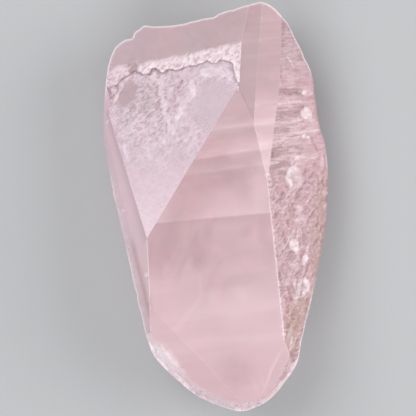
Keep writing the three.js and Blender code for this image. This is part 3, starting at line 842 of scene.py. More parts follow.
def layer_finish(at):
    """The growth layer: a plain top darkened by painted shade, the white frosted slope along the
    ledge, and on the left part a pale wedge, a grainy spot and the terrace."""
    frost_line = nearest_on(FROST_LINE, at.x, at.y)[0]
    slope = slope_share(at.x, at.y, at.ledge)
    slope_grain = smooth(0.5 + 1.3 * noise(at.x, at.y, 0.5, 92, 2))
    spot = patch(at.x, at.y, *GRAINY_SPOT, at.ragged)
    wedge = ramp(frost_line, 0, 0.3) * ramp(at.terrace, 0, -0.15) * at.left_part * (1 - spot)
    terrace = ramp(at.terrace, 0, 0.1) * at.left_part
    lip = 0.25 * bell(at.ledge - 0.2, 0.3) * (1 - at.left_part) + at.left_lip
    frost = slope * (0.38 + 0.22 * at.mottle + 0.30 * slope_grain) + lip
    frost = frost + wedge * (0.05 + 0.5 * at.mottle) + 0.3 * terrace * at.speckle
    frost = frost + 0.3 * bell(frost_line, 0.12) * at.left_part
    # The plain top's darkening, a little less on the right, is painted shade.
    shade = (0.68 - 0.12 * ramp(at.x, 0, 8)) * (1 - slope) * (1 - wedge)
    shade = shade + 0.75 * spot * (0.3 + 0.7 * at.speckle) + 0.1 * at.mottle
    return {
        "frost": frost, "smoke_and_shade": shade, "lilac_and_sheen": 0.15 + 0.6 * ramp(at.x, -10, -14),
        "grain": 0.7 * (slope + wedge + terrace + spot),
    }


def ribbed_finish(at):
    """The ribbed side, the clearest one: fine frosted ribs near the broad end and scales below,
    dark rows and white lines along the ribs, and a tan edge. Bruises cover all of it."""
    x, y = at.x, at.y
    along = along_ribs(x, y)
    low = ramp(along, 6, 0)
    fine_ribs = smooth(0.3 + noise(x / 6, along, 0.32, 84, 2) * 2.2)
    scales = scale_field(x, y) * low
    rows = largest(
        strength * strip_of(x, y, path, half, 0.4 * at.ragged) for path, half, strength in DARK_ROWS
    )
    lines = largest(strength * stroke(x, y, path, width) for path, width, strength in WHITE_LINES)
    tan = largest(patch(x, y, *place, at.ragged) for place in TAN_PATCHES)
    frost = (0.24 * fine_ribs * (1 - 0.6 * low) + 0.32 * scales) * (1 - rows) * (1 - 0.7 * tan)
    frost = frost + 0.8 * lines + 0.2 * at.chipped * at.speckle
    between_scales = low * (1 - scales) * smooth(0.5 + 2 * at.grain)
    # The even 0.08, the darkening towards the broad end and the extra darkening over the tan patch on
    # the right edge are painted shade.
    shade = 0.08 + rows * (0.75 + 0.35 * at.speckle) + 0.28 * between_scales
    shade = shade + 0.3 * tan * ramp(y, -16, -12) + 0.6 * ramp(y, 20, 29)
    row_grain = (0.35 + 0.3 * ramp(along, 17, 13)) * (1 - 0.8 * low) * (1 - 0.7 * ramp(x, 14.5, 17))
    return {
        "frost": frost, "smoke_and_shade": shade * (1 - at.bruises),
        "veil": (0.15 + 0.25 * ramp(y, 5, 13)) * (1 - tan) * (1 - rows),
        "warm": (tan + 0.35 * rows) * (1 - at.bruises),
        "clear": 0.9 - 0.4 * at.chipped - 0.3 * ramp(y, 20, 26),
        "grain": (0.25 + 0.4 * low) * (1 - 0.8 * at.bruises) * (1 - 0.5 * tan),
        "ribs": row_grain * (1 - at.bruises),
    }


def left_finish(at):
    """The two left facets: lilac, partly as a painted sheen, and milky, with painted shade along the
    creases that they share with the triangular face and with each other, and worn along the
    outline."""
    # Painted shade along the creases.
    crease_shade = bell(at.edge, 0.9) * beside(at.order, "triangle")
    lower_crease_shade = bell(at.edge, 0.38) * beside(at.order, "outer_left", "left")
    crease_shade = crease_shade + 1.6 * lower_crease_shade * ramp(at.y, -4, -8)
    worn = bell(at.inwards, 0.7) * at.mottle * ramp(at.y, 9, 1)
    return {
        "frost": 0.05 + 0.35 * worn, "smoke_and_shade": 0.05 + 0.12 * ramp(at.y, 4, 12) + 0.36 * crease_shade,
        "veil": 0.62 - 0.2 * ramp(at.y, -12, -20), "lilac_and_sheen": 1 - 0.8 * ramp(at.y, -4, -11),
    }


def inside_milk(at):
    """Milk inside the crystal, seen through the flat faces: sheets of bubbles, streaks, clouds, a
    milkier lower half, and bands along the sheets, fine near the broad end and wide below."""
    x, y = at.x, at.y
    milk = largest(strength * line_veil(x, y, *sheet) for *sheet, strength in VEILS)
    milk = milk * (1 - 0.5 * patch(x, y, *VEIL_GAP))
    milk = milk + largest(strength * stroke(x, y, path, width) for path, width, strength in STREAKS)
    milk = milk + largest(strength * patch(x, y, *one, 1.4, at.ragged) for *one, strength in GLOWS)
    milk = milk + 0.14 * ramp(y, -1.8, -3.8) + 0.26 * ramp(at.wander_y, -6, -18)
    milk = milk + 0.08 * patch(at.wander_x, at.wander_y, *LOWER_CLOUD)
    fine_bands = smooth(2.0 * stretched_noise(x, y, 0.5, 9, 7, 88)) * ramp(y, 3, 9)
    wide_bands = smooth(0.3 + stretched_noise(x, y, 1.7, 9, 7, 89)) * ramp(y, -7, -13)
    return milk + 0.15 * fine_bands + 0.14 * wide_bands


def inside_smoke(at):
    """Smoky clouds and slanting streaks under the main face."""
    smoke_and_shade = largest(
        strength * patch(at.wander_x, at.wander_y, *place, 1.5, at.ragged)
        for *place, strength in SMOKES
    )
    slants = smooth(2.2 * stretched_noise(at.x, at.y, 1.5, 5, 66, 90))
    slants = slants * patch(at.x, at.y, *SLANTS)
    return 0.6 * smoke_and_shade + 0.14 * slants + 0.3 * stroke(at.x, at.y, LOWER_LEFT_SHADE, 0.45)


def warm_tint(at, facet):
    """The warm patches of a facet, added up."""
    return sum(
        strength * patch(at.wander_x, at.wander_y, *place, 1.2, at.ragged)
        for *place, strength in WARM_PATCHES[facet]
    )


def worn_finish(at):
    """Wear on the rim and next to it: chipped places and a grainy strip along the tip."""
    chips = patch(at.x, at.y, *LOWER_CHIPS, at.ragged)
    strip = strip_of(at.x, at.y, RIM_GRAIN, 0.5, 1.5 * at.ragged)
    frost = chips * (0.5 + 0.4 * at.mottle * at.speckle)
    return {
        "frost": frost + (0.4 * at.chipped + 0.35 * strip) * at.speckle,
        "smoke_and_shade": 0.4 * strip * smooth(-2 * at.grain), "grain": 0.12 * chips,
    }


def together(*finishes):
    """Finishes over each other: what they hold in common is added up."""
    total = {}
    for finish in finishes:
        for name, field in finish.items():
            total[name] = total.get(name, 0) + field
    return total


def facet_finishes(at):
    """Each facet's finish, worked out at all the points, by the facet's name."""
    milk, smoke_and_shade, worn = inside_milk(at), inside_smoke(at), worn_finish(at)
    ribbed, left = ribbed_finish(at), left_finish(at)
    rim = {"frost": 0.12 * at.mottle * at.speckle, "veil": 1.0, "clear": 0.3, "grain": 0.08}
    # The bevel's darkening, strongest towards the broad end, is painted shade.
    bevel = {
        "veil": milk + 0.30 + 0.04 * ramp(at.y, 16, 10), "warm": warm_tint(at, "bevel"),
        "smoke_and_shade": 0.06 * ramp(at.y, 6, 12) + 0.58 * ramp(at.y, 17, 23), "clear": 0.35,
    }
    flat = {
        "main": {"veil": milk, "smoke_and_shade": smoke_and_shade, "warm": warm_tint(at, "main")},
        "bevel": bevel,
        # The upper face and the two lower faces are each darkened evenly by painted shade.
        "upper": {"veil": milk, "smoke_and_shade": 0.58},
        "lower_left": {"veil": milk, "smoke_and_shade": 0.07},
        "lower_right": {"veil": 0.85 * milk, "smoke_and_shade": 0.20},
    }
    flat.update({name: rim for name in NAMES if name.startswith("rim")})
    return {
        "triangle": skin_finish(at), "layer": layer_finish(at), "left": left,
        "outer_left": left, "ribbed": ribbed, "ribbed_top": ribbed,
        **{name: together(worn, finish) for name, finish in flat.items()},
    }


def white_marks(at):
    """Frost on any facet: the bruises, and the worn lower half of the crest."""
    crest = bell(at.edge, 0.14) * beside(at.order, "main", "ribbed") * ramp(at.y, 4, -2)
    return at.bruises * (0.4 + 0.6 * at.speckle) + 0.45 * crest


def dark_line_distance(at):
    """The distance to the nearest dark line: a scratch, a pit, or the foot of the ledge and the
    terrace, where the line is uneven and is a painted shadow under the step."""
    uneven = 0.35 + 0.65 * smooth(0.5 + noise(at.x, at.y, 1.2, 85, 2))
    foot = np.where(at.x > TERRACE_END, np.abs(at.ledge + 0.08), np.abs(at.terrace)) / uneven
    pits = 0.25 * (1 - near_pits(at.x, at.y) * (at.ledge < 0))
    return np.min([foot, pits, *(distance_to(path, at.x, at.y) for path, _, _ in SCRATCHES)], axis=0)


FINISHES = ("frost", "veil", "smoke_and_shade", "warm", "lilac_and_sheen", "clear", "grain", "ribs")
# How bright the painted highlight line along the outline is.
PAINTED_RIM_HIGHLIGHT = 0.9
OUTLINE_REACH = 0.3  # a millimetre from the outline counts as this much from an edge


def front_finish(points, faces, facet, inwards, lost):
    """How the surface is finished at each corner of each triangle, each from 0 to 1: frost is
    white and rough, veil is milk inside, smoke and shade is smoky clouds inside and painted
    shade on several facets, lilac and sheen is a lilac tint that is partly a painted sheen, warm
    is a tint, clear is see-through, and grain and ribs are dark and pale specks. The last ones
    are distances in millimetres to the painted highlight line of an edge and to a dark line,
    and how bright the painted highlight is."""
    at = front_marks(points[:, 0], points[:, 1], inwards, lost)
    finish = {name: np.zeros(faces.shape) for name in FINISHES}
    for facet_name, fields in facet_finishes(at).items():
        own = facet == NAMES.index(facet_name)
        for name, field in fields.items():
            finish[name][own] = np.broadcast_to(field, at.x.shape)[faces[own]]
    finish["frost"] += white_marks(at)[faces]

    # A painted highlight line runs along the facets' edges and along the outline, fainter where the
    # outline's highlight has gaps.
    on_rim = OUTLINE_REACH * inwards < at.edge
    rim_highlight = PAINTED_RIM_HIGHLIGHT * (1 - 0.95 * largest(patch(at.x, at.y, *one, 0.5) for one in RIM_HIGHLIGHT_GAPS))
    finish["edge_mm"] = np.minimum(at.edge, OUTLINE_REACH * inwards)[faces]
    finish["painted_edge_highlight"] = np.where(on_rim, rim_highlight, painted_edge_highlight(at.order))[faces]
    dark_lined = np.isin(facet, [NAMES.index("triangle"), NAMES.index("layer")])
    finish["dark_line_mm"] = np.where(dark_lined[:, None], dark_line_distance(at)[faces], 1.0)
    return {name: np.clip(values, 0, 1) for name, values in finish.items()}


# ---- The front: its mesh ---------------------------------------------------------------------


def build_outline():
    """The outline with ragged notches that only go inwards: noise along it, above a floor."""
    smooth_line = closed_curve(OUTLINE * (1 - BOX_MARGIN / HALF_WIDTH), OUTLINE_STEPS)
    x, y = smooth_line.T
    ahead = np.roll(smooth_line, -1, axis=0) - np.roll(smooth_line, 1, axis=0)
    inwards = np.stack([ahead[:, 1], -ahead[:, 0]], axis=1)
    inwards /= np.linalg.norm(inwards, axis=1)[:, None]
    ragged = 0.5 + 0.5 * noise(x, y, 9.0, 71, 1)
    notches = np.clip(noise(x, y, 1.7, 72, 3), 0, 1) * 0.5 * ragged
    return smooth_line + inwards * notches[:, None]


def lattice(outline):
    """Square cells, whose corners near the outline or a facet's edge move onto it. A corner
    moves only where it is the nearer end of the cell side that the line crosses."""
    columns, rows = (np.arange(-reach, reach, SPACING) for reach in LATTICE_REACH)
    x, y = (v.ravel() for v in np.meshgrid(columns, rows))
    inwards, nearest, along = nearest_on(outline, x, y, closed=True)
    away = np.abs(np.stack([x, y], axis=1) - nearest).max(1)
    reach = away / np.maximum(np.abs(inwards), 1e-9)
    on_outline = np.abs(inwards) <= 0.5 * SPACING * reach
    x = np.where(on_outline, nearest[:, 0], x)
    y = np.where(on_outline, nearest[:, 1], y)
    inside = (inwards > 0) | on_outline

    at = front_fields(x, y)
    reach = np.abs(at.towards).max(1)
    on_edge = ~on_outline & (at.edge <= 0.5 * SPACING * reach) & (inwards > SPACING)
    x = np.where(on_edge, x - at.towards[:, 0] * at.edge, x)
    y = np.where(on_edge, y - at.towards[:, 1] * at.edge, y)
    depth = np.where(on_outline, 0.0, inwards)
    return x, y, depth, along, inside, on_outline, (len(rows), len(columns))


def lattice_faces(x, y, inside, on_outline, shape, outline):
    """Two triangles for each whole cell, split along the diagonal that lies nearer to the
    facets' true height at the cell's middle, and one for each cell with a corner outside. Of
    those with three corners on the outline, only the ones whose middle is inside it stay."""
    index = np.arange(len(x)).reshape(shape)
    around = (index[:-1, :-1], index[:-1, 1:], index[1:, 1:], index[1:, :-1])
    corners = np.stack([corner.ravel() for corner in around], axis=1)
    count = inside[corners].sum(1)
    corners, count = corners[count >= 3], count[count >= 3]
    a, b, c, d = corners.T
    level = front_fields(x, y).height
    middle = front_fields(x[corners].mean(1), y[corners].mean(1)).height
    ac = np.abs((level[a] + level[c]) / 2 - middle) <= np.abs((level[b] + level[d]) / 2 - middle)
    missing = np.where(count == 3, (~inside[corners]).argmax(1), -1)
    ac = np.where(missing >= 0, missing % 2 == 1, ac)
    first = np.where(ac[:, None], np.stack([a, b, c], 1), np.stack([a, b, d], 1))
    second = np.where(ac[:, None], np.stack([a, c, d], 1), np.stack([b, c, d], 1))
    faces = np.concatenate([first, second])
    faces = faces[inside[faces].all(1)]
    on_line = np.nonzero(on_outline[faces].all(1))[0]
    middles = (values[faces[on_line]].mean(1) for values in (x, y))
    beyond = nearest_on(outline, *middles, closed=True)[0] < 1e-4
    return np.delete(faces, on_line[beyond], axis=0)


def build_front():
    """The front's points, triangles, each triangle's facet and finish, its border's points and
    their shares of the way around the outline, and the outline. A triangle belongs to the facet
    that its middle lies on."""
    outline = build_outline()
    x, y, depth, along, inside, on_outline, shape = lattice(outline)
    faces = lattice_faces(x, y, inside, on_outline, shape, outline)
    used, faces = np.unique(faces, return_inverse=True)
    faces = faces.reshape(-1, 3)
    x, y, depth, along, on_outline = (v[used] for v in (x, y, depth, along, on_outline))
    z, lost = front_height(x, y, depth, outline)
    border = np.nonzero(on_outline)[0]
    border = border[np.argsort(along[border])]
    points = np.stack([x, y, z], axis=1)
    middle = points[faces].mean(1)
    facet = front_fields(middle[:, 0], middle[:, 1]).facet
    finish = front_finish(points, faces, facet, depth, lost)
    return points, faces, facet, finish, border, along[border], outline


# ---- The sides and the back ------------------------------------------------------------------


def into_shells(points, inwards):
    """Moves each point that lies inside a shell's ellipsoid straight in, to the far side of it.
    With q the point and e the direction in units of the ellipsoid, the way is the larger root of
    |q + way e|^2 = 1."""
    straight_in = np.column_stack([inwards, np.zeros(len(points))])
    for middle, half, turn_deg in END_SHELLS:
        turn = math.radians(turn_deg)
        axes = np.array([
            (math.cos(turn), math.sin(turn), 0), (-math.sin(turn), math.cos(turn), 0), (0, 0, 1),
        ]) / np.array(half)[:, None]
        q = (points - middle) @ axes.T
        e = straight_in @ axes.T
        a, b, c = (e * e).sum(1), (q * e).sum(1), (q * q).sum(1) - 1
        way = np.where(c < 0, (-b + np.sqrt(np.maximum(b * b - a * c, 0))) / a, 0)
        points = points + straight_in * way[:, None]
    return points


def back_height(x, y):
    """The highest back plane at each point."""
    return np.max([height_on(plane, x, y) for plane in BACK_PLANES], axis=0)


def side_relief(x, y, z):
    """How far the broken and etched sides lie inside the plain form: long low waves, then lumps,
    then grain."""
    waves = 0.5 + 0.5 * noise(x, y, 5.0, 91, 2, z * 2.0)
    lumps = 0.5 + 0.5 * noise(x, y, 1.7, 92, 3, z * 1.6)
    grain = 0.5 + 0.5 * noise(x, y, 0.6, 93, 2, z)
    return 0.35 * waves + 0.3 * lumps + 0.06 * grain


def side_ring(plan, inwards, z, amount):
    """A ring of the sides: the plan points at heights z, moved in by the relief times amount,
    and into the shell fractures."""
    depth = side_relief(*plan.T, z) * amount
    plain = np.column_stack([plan + inwards * depth[:, None], z])
    return into_shells(plain, inwards)


def build_rings(border_z, border_shares, outline):
    """The rings below the front's border: first down the upright side, then over the back facets
    to the edge of the flat, which is where the highest back plane reaches height 0, and then
    over the flat towards the spine."""
    shares = np.arange(RING_STEPS) / RING_STEPS
    plan = even_steps(outline, RING_STEPS)
    ahead = np.roll(plan, -2, axis=0) - np.roll(plan, 2, axis=0)
    inwards = np.column_stack([ahead[:, 1], -ahead[:, 0]])
    inwards /= np.linalg.norm(inwards, axis=1)[:, None]
    top = np.interp(shares, border_shares, border_z, period=1)
    girdle = np.minimum(np.maximum(back_height(*plan.T), LOWEST_GIRDLE), top - LEAST_WALL)
    rings = []
    for row in range(1, WALL_ROWS + 1):
        share = row / WALL_ROWS
        z = top + (girdle - top) * share
        rings.append(side_ring(plan, inwards, z, smooth(share * 4)))

    plan, inwards, girdle, shares = plan[::2], inwards[::2], girdle[::2], shares[::2]
    spine = spine_point(shares)
    outer = np.array([height_on(plane, *plan.T) for plane in BACK_PLANES])
    inner = np.array([height_on(plane, *spine.T) for plane in BACK_PLANES])
    flat_share = np.max(np.where(outer > 0, outer / (outer - inner), 0), axis=0)
    for row in range(1, UNDER_ROWS + 1):
        share = row / UNDER_ROWS
        place = plan + (spine - plan) * (flat_share * share)[:, None]
        z = np.minimum(np.maximum(back_height(*place.T), 0), girdle)
        rings.append(side_ring(place, inwards, z, smooth((1 - share) * 5)))

    edge, spine = rings[-1][::2], spine[::2]
    for row in range(1, BASE_ROWS):
        place = edge[:, :2] + (spine - edge[:, :2]) * row / BASE_ROWS
        pits = 0.25 * np.clip(noise(*place.T, 2.0, 95, 3) - 0.25, 0, 1)
        rings.append(np.column_stack([place, pits]))
    return rings


def spine_point(share):
    """The point of the spine that lies across from a share of the outline: there and back."""
    place = np.clip((1 - np.abs(2 * share - 1) - SPINE_ENDS) / (1 - 2 * SPINE_ENDS), 0, 1)
    start, end = np.array(SPINE)
    return start + (end - start) * place[:, None]


def strip(upper, upper_shares, lower, lower_shares):
    """Triangles between two closed rings of indices: each edge of one ring joins the point of
    the other that is current at the edge's middle share."""
    upper_turns = (upper_shares + np.diff(upper_shares, append=upper_shares[0] + 1) / 2) % 1
    lower_turns = (lower_shares + np.diff(lower_shares, append=lower_shares[0] + 1) / 2) % 1
    order_upper, order_lower = np.argsort(upper_turns), np.argsort(lower_turns)
    passed = np.searchsorted(lower_turns[order_lower], upper_turns, side="left")
    facing = (order_lower[passed - 1] + 1) % len(lower)
    down = np.column_stack([upper, np.roll(upper, -1), lower[facing]])
    passed = np.searchsorted(upper_turns[order_upper], lower_turns, side="right")
    facing = (order_upper[passed - 1] + 1) % len(upper)
    up = np.column_stack([np.roll(lower, -1), lower, upper[facing]])
    return np.concatenate([down, up])


def side_finish(points, faces):
    """The finish of the sides and the back at each corner of each triangle: etched and half
    frosted, more so in the broken end and where they are mottled."""
    x, y, z = points.T
    mottle = smooth(0.5 + 0.8 * noise(x, y, 1.4, 96, 3, z))
    fields = {
        "frost": 0.10 + 0.28 * mottle + 0.15 * ramp(y, 24, 30),
        "veil": 0.35, "smoke_and_shade": 0.2 * smooth(noise(x, y, 3.0, 98, 3, z) * 2), "warm": 0.04,
        "lilac_and_sheen": 0.25 + 0.25 * noise(x, y, 6.0, 97, 2, z), "clear": 0.25, "grain": 0.14,
        "ribs": 0.2 * ramp(x, 0, 6), "edge_mm": 1.0, "painted_edge_highlight": 0.0, "dark_line_mm": 1.0,
    }
    return {name: np.broadcast_to(field, x.shape)[faces] for name, field in fields.items()}


def build_crystal():
    """The closed surface as points in millimetres, triangles, the finish at each corner, and
    each triangle's facet, which is -1 on the sides."""
    front, front_faces, facet, finish, border, border_shares, outline = build_front()
    rings = build_rings(front[border, 2], border_shares, outline)
    points, faces = [front], []
    upper, upper_shares, count = border, border_shares, len(front)
    for ring in rings:
        lower = count + np.arange(len(ring))
        lower_shares = np.arange(len(ring)) / len(ring)
        faces.append(strip(upper, upper_shares, lower, lower_shares))
        points.append(ring)
        upper, upper_shares, count = lower, lower_shares, count + len(ring)

    # The last ring lies on the spine: the points of its two halves are the same ones.
    steps = len(rings[-1])
    spine = spine_point(np.arange(steps // 2 + 1) / steps)
    _, first, merged = np.unique(spine, axis=0, return_index=True, return_inverse=True)
    across = np.minimum(np.arange(steps), steps - np.arange(steps))
    closing = strip(upper, upper_shares, count + merged.ravel()[across], upper_shares)
    distinct = (closing != np.roll(closing, 1, axis=1)).all(1)
    faces.append(closing[distinct])
    points.append(np.column_stack([spine[first], np.zeros(len(first))]))

    points, side_faces = np.concatenate(points), np.concatenate(faces)
    side = side_finish(points, side_faces)
    finish = {name: np.concatenate([finish[name], side[name]]) for name in finish}
    facet = np.concatenate([facet, np.full(len(side_faces), -1)])
    return points, np.concatenate([front_faces, side_faces]), finish, facet


# ---- Materials -------------------------------------------------------------------------------


def node(tree, kind, inputs=None, **settings):
    """Adds a shader node; inputs maps its sockets to values or to other nodes' outputs."""
    made = tree.nodes.new(kind)
    for name, value in settings.items():
        setattr(made, name, value)
    for socket, value in (inputs or {}).items():
        if isinstance(value, bpy.types.NodeSocket):
            tree.links.new(value, made.inputs[socket])
        else:
            made.inputs[socket].default_value = value
    return made


def new_material(name):
    """A material without nodes, and its node tree."""
    material = bpy.data.materials.new(name)
    material.use_nodes = True
    material.node_tree.nodes.clear()
    return material, material.node_tree


def calc(tree, operation, a, b=0.0, clamp=False):
    """One operation on two values; clamp keeps the result between 0 and 1."""
    return node(
        tree, "ShaderNodeMath", {0: a, 1: b}, operation=operation, use_clamp=clamp
    ).outputs[0]


def times(tree, a, b):
    """a * b."""
    return calc(tree, "MULTIPLY", a, b)


def without(tree, value, share):
    """value * (1 - share)."""
    return times(tree, value, calc(tree, "SUBTRACT", 1.0, share, clamp=True))


def blend(tree, share, colour, other):
    """From one colour to another by a share."""
    made = node(tree, "ShaderNodeMix", {0: share, 6: colour, 7: other}, data_type="RGBA")
    return made.outputs[2]


def mix(tree, share, value, other):
    """From one value to another by a share."""
    return node(tree, "ShaderNodeMix", {0: share, 2: value, 3: other}).outputs[0]


def finish_of(tree, name):
    """One of the finish values that the mesh carries."""
    return node(tree, "ShaderNodeAttribute", attribute_name=name).outputs["Fac"]


def line(tree, distance, width):
    """exp(-(distance / width)^2), both in millimetres: 1 on the line and 0 away from it."""
    share = calc(tree, "DIVIDE", distance, width)
    return calc(tree, "EXPONENT", times(tree, times(tree, share, share), -1.0))


def clouds(tree, size_mm, detail=3.0, stretch=1.0, turn_deg=0.0, distortion=0.0):
    """Fractal noise on Object coordinates, from about 0.25 to 0.75: features of a size, and
    `stretch` times longer along a direction in the plan."""
    place = node(tree, "ShaderNodeTexCoord").outputs["Object"]
    turn, scale = (0, 0, math.radians(turn_deg)), (stretch, 1, stretch)
    mapped = node(
        tree, "ShaderNodeMapping", {"Vector": place, "Rotation": turn, "Scale": scale},
        vector_type="TEXTURE",
    )
    settings = {"Scale": 1 / (size_mm * MM), "Detail": detail, "Distortion": distortion}
    return node(tree, "ShaderNodeTexNoise", {"Vector": mapped.outputs[0], **settings}).outputs["Fac"]


def rescaled(tree, value, low, high, to_low=0.0, to_high=1.0):
    """The value moved from low..high to another range, with a soft start and end."""
    made = node(
        tree, "ShaderNodeMapRange",
        {"Value": value, "From Min": low, "From Max": high, "To Min": to_low, "To Max": to_high},
        interpolation_type="SMOOTHSTEP",
    )
    return made.outputs[0]


PINK = (0.91, 0.63, 0.68, 1)
DEEP_PINK = (0.84, 0.55, 0.60, 1)
PALE_PINK = (0.95, 0.74, 0.78, 1)
MILK = (0.97, 0.72, 0.775, 1)
LILAC_AND_SHEEN = (0.86, 0.64, 0.77, 1)
TAN = (0.33, 0.18, 0.115, 1)
CLEAR_PINK = (0.86, 0.40, 0.455, 1)
DUSKY_PINK = (0.46, 0.27, 0.30, 1)
DARK_LINE_COLOUR = (0.30, 0.20, 0.23, 1)
WHITE = (0.95, 0.85, 0.89, 1)
PALE_SPECK = (0.95, 0.78, 0.83, 1)
DEPTH_PINK = (0.93, 0.62, 0.68, 1)
TABLE_GREY = (0.50, 0.51, 0.52, 1)

BERYL_IOR = 1.58
DEPTH_DENSITY = 40.0
HIGHLIGHT_LINE_MM = 0.075
DARK_LINE_MM = 0.09
BUMP_MM = 0.08


def body_colour(tree, finish):
    """Pink with paler wisps, tinted by the finish, with milk and smoky clouds inside it, and
    painted shade on several facets.
    """
    body = rescaled(tree, clouds(tree, 16, 3, 1.6, 12, 0.6), 0.35, 0.68)
    wisps = rescaled(tree, clouds(tree, 5, 5, 3, 8, 1.0), 0.50, 0.72)
    colour = blend(tree, body, DEEP_PINK, PINK)
    colour = blend(tree, times(tree, wisps, 0.3), colour, PALE_PINK)
    colour = blend(tree, finish["clear"], colour, CLEAR_PINK)
    # The lilac tint is partly a painted sheen, on the triangular face and the left facets.
    colour = blend(tree, times(tree, finish["lilac_and_sheen"], 0.75), colour, LILAC_AND_SHEEN)
    colour = blend(tree, times(tree, finish["warm"], 0.8), colour, TAN)
    colour = blend(tree, finish["veil"], colour, MILK)
    # Darker by the smoke and shade share: smoky clouds inside, and painted shade on several facets.
    return blend(tree, times(tree, finish["smoke_and_shade"], 0.8), colour, DUSKY_PINK)


def white_share(tree, finish):
    """The frost, which is a little uneven, and the painted highlight lines along the edges."""
    fine_frost = rescaled(tree, clouds(tree, 0.5, 3), 0.3, 0.7, 0.75, 1.1)
    frosted = calc(tree, "MULTIPLY", finish["frost"], fine_frost, clamp=True)
    highlight_line = line(tree, finish["edge_mm"], HIGHLIGHT_LINE_MM)
    return calc(tree, "MAXIMUM", frosted, times(tree, highlight_line, finish["painted_edge_highlight"]))


def marked(tree, colour, finish, specks, rows):
    """The colour under its dark and pale specks, and with its dark lines, of which the one at the foot
    of the ledge is a painted shadow.
    """
    for texture, strength in ((specks, finish["grain"]), (rows, finish["ribs"])):
        dark = times(tree, rescaled(tree, texture, 0.50, 0.60, 0, 0.75), strength)
        pale = times(tree, rescaled(tree, texture, 0.48, 0.39, 0, 0.75), strength)
        colour = blend(tree, dark, colour, DUSKY_PINK)
        colour = blend(tree, pale, colour, PALE_SPECK)
    # Dark lines: scratches, pits, and the painted shadow along the foot of the ledge and the terrace.
    dark_line = line(tree, finish["dark_line_mm"], DARK_LINE_MM)
    return blend(tree, times(tree, dark_line, 0.75), colour, DARK_LINE_COLOUR)


def see_through(tree, finish, white):
    """How much light passes: less where it is milky or tan, and none where it is white."""
    share = mix(tree, finish["clear"], 0.40, 0.48)
    share = without(tree, share, times(tree, finish["veil"], 0.6))
    share = without(tree, share, white)
    return without(tree, share, times(tree, finish["warm"], 0.8))


def roughness(tree, finish):
    """Glossy facets with soft smears, glossier where clear, and dull frost."""
    smears = rescaled(tree, clouds(tree, 3, 4, 2, 20), 0.3, 0.7)
    polish = mix(tree, finish["clear"], mix(tree, smears, 0.16, 0.26), 0.10)
    return mix(tree, finish["frost"], polish, 0.62)


def bumps(tree, finish, specks, rows):
    """Specks where the surface is frosted or grainy, rows on the ribs, and a faint ripple."""
    uneven = calc(tree, "MAXIMUM", finish["frost"], finish["grain"])
    height = calc(tree, "ADD", times(tree, specks, uneven), times(tree, rows, finish["ribs"]))
    height = calc(tree, "ADD", height, times(tree, clouds(tree, 1.6, 2), 0.15))
    sizes = {"Strength": 0.35, "Distance": BUMP_MM * MM}
    return node(tree, "ShaderNodeBump", {"Height": height, **sizes}).outputs[0]


def morganite():
    """Milky pink beryl: a see-through body with a plain absorption, clouded from inside, and a
    surface that goes from glossy facets to white frost."""
    material, tree = new_material("morganite")
    finish = {name: finish_of(tree, name) for name in (*FINISHES, "edge_mm", "painted_edge_highlight", "dark_line_mm")}
    specks = clouds(tree, 0.40, 3, 1.8, 42, 0.3)
    rows = clouds(tree, 0.40, 3, 5, 7, 0.3)
    white = white_share(tree, finish)
    colour = blend(tree, white, body_colour(tree, finish), WHITE)
    shader = node(
        tree, "ShaderNodeBsdfPrincipled",
        {
            "Base Color": marked(tree, colour, finish, specks, rows),
            "Roughness": roughness(tree, finish), "IOR": BERYL_IOR,
            "Transmission Weight": see_through(tree, finish, white),
            "Normal": bumps(tree, finish, specks, rows),
        },
    )
    depth = node(
        tree, "ShaderNodeVolumeAbsorption", {"Color": DEPTH_PINK, "Density": DEPTH_DENSITY}
    )
    node(
        tree, "ShaderNodeOutputMaterial",
        {"Surface": shader.outputs[0], "Volume": depth.outputs[0]},
    )
    return material


def studio_table():
    """A plain pale matt grey."""
    material, tree = new_material("pale table")
    shader = node(
        tree, "ShaderNodeBsdfPrincipled",
        {"Base Color": TABLE_GREY, "Roughness": 0.85, "IOR": 1.45},
    )
    node(tree, "ShaderNodeOutputMaterial", {"Surface": shader.outputs[0]})
    return material


# ---- The scene -------------------------------------------------------------------------------

TABLE_HALF = 3.0  # metres
CAMERA_PLACE_MM = (-1.44, -0.18, 636.0)
CAMERA_LENS, CAMERA_SENSOR = 300, 36
SKY_GREY, SKY_STRENGTH = (0.80, 0.81, 0.83, 1), 0.40
AIM_HEIGHT = 0.01
# Soft boxes: name, direction, distance, size and power.
SOFT_BOXES = (
    ("upper left box", (-0.8, 0.6, 1.4), 0.7, (0.5, 0.5), 2.5),
    ("right panel", (1.0, 0.1, 0.6), 0.7, (0.6, 0.6), 2.7),
    ("lower fill", (-0.2, -1.0, 0.8), 0.8, (0.6, 0.4), 2.5),
)


def placed(name, data):
    """An object with this data, linked into the scene."""
    made = bpy.data.objects.new(name, data)
    bpy.context.scene.collection.objects.link(made)
    return made


def make_crystal():
    """The crystal's mesh in metres, with its finish as attributes of the triangles' corners."""
    points, faces, finish, facet = build_crystal()
    mesh = bpy.data.meshes.new("crystal_surface")
    mesh.vertices.add(len(points))
    mesh.vertices.foreach_set("co", (points * MM).astype(np.float32).ravel())
    mesh.loops.add(faces.size)
    mesh.loops.foreach_set("vertex_index", faces.astype(np.int32).ravel())
    mesh.polygons.add(len(faces))
    mesh.polygons.foreach_set("loop_start", np.arange(0, faces.size, 3, dtype=np.int32))
    mesh.update(calc_edges=True)
    mesh.validate()
    for name, values in finish.items():
        attribute = mesh.attributes.new(name, "FLOAT", "CORNER")
        attribute.data.foreach_set("value", values.astype(np.float32).ravel())
    mesh.shade_smooth()
    mark_creases(mesh, facet)
    mesh.materials.append(morganite())
    return placed("crystal_surface", mesh)


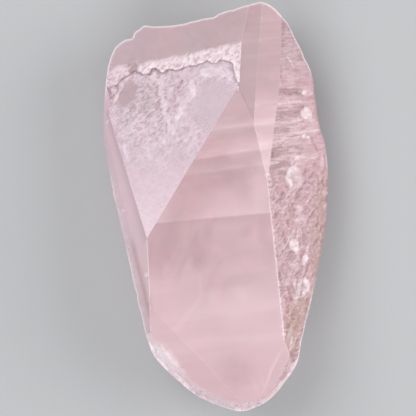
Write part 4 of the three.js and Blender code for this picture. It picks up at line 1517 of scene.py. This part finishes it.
def mark_creases(mesh, facet):
    """An edge is sharp where its two triangles lie on different facets."""
    edges = np.empty(len(mesh.loops), np.int32)
    mesh.loops.foreach_get("edge_index", edges)
    of_loop = np.repeat(facet, 3)
    lowest = np.full(len(mesh.edges), len(NAMES))
    highest = np.full(len(mesh.edges), -1)
    np.minimum.at(lowest, edges, of_loop)
    np.maximum.at(highest, edges, of_loop)
    attribute = mesh.attributes.new("sharp_edge", "BOOLEAN", "EDGE")
    attribute.data.foreach_set("value", lowest != highest)


def make_table():
    """A flat square at height 0."""
    mesh = bpy.data.meshes.new("table")
    corners = [(-1, -1), (1, -1), (1, 1), (-1, 1)]
    mesh.from_pydata([(x * TABLE_HALF, y * TABLE_HALF, 0) for x, y in corners], [], [(0, 1, 2, 3)])
    mesh.materials.append(studio_table())
    return placed("table", mesh)


def make_light(name, direction, distance, size, power):
    """A rectangular soft box that looks at the crystal from a direction."""
    light = bpy.data.lights.new(name, "AREA")
    light.shape = "RECTANGLE"
    light.size, light.size_y = size
    light.energy = power
    lamp = placed(name, light)
    aim = Vector(direction).normalized()
    lamp.location = aim * distance + Vector((0, 0, AIM_HEIGHT))
    lamp.rotation_euler = aim.to_track_quat("Z", "Y").to_euler()


def make_camera():
    """A long lens that looks straight down on the main face."""
    data = bpy.data.cameras.new("camera")
    data.lens = CAMERA_LENS
    data.sensor_width = CAMERA_SENSOR
    data.clip_start, data.clip_end = 0.01, 20
    camera = placed("camera", data)
    camera.location = Vector(CAMERA_PLACE_MM) * MM
    bpy.context.scene.camera = camera


def make_studio():
    """A plain pale sky and the soft boxes."""
    world = bpy.data.worlds.new("studio")
    bpy.context.scene.world = world
    world.use_nodes = True
    background = world.node_tree.nodes["Background"]
    background.inputs["Color"].default_value = SKY_GREY
    background.inputs["Strength"].default_value = SKY_STRENGTH
    for box in SOFT_BOXES:
        make_light(*box)
    bpy.context.scene.view_settings.view_transform = "Standard"


make_camera()
make_studio()
make_table()
crystal = make_crystal()
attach(crystal, "root")
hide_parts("crystal")
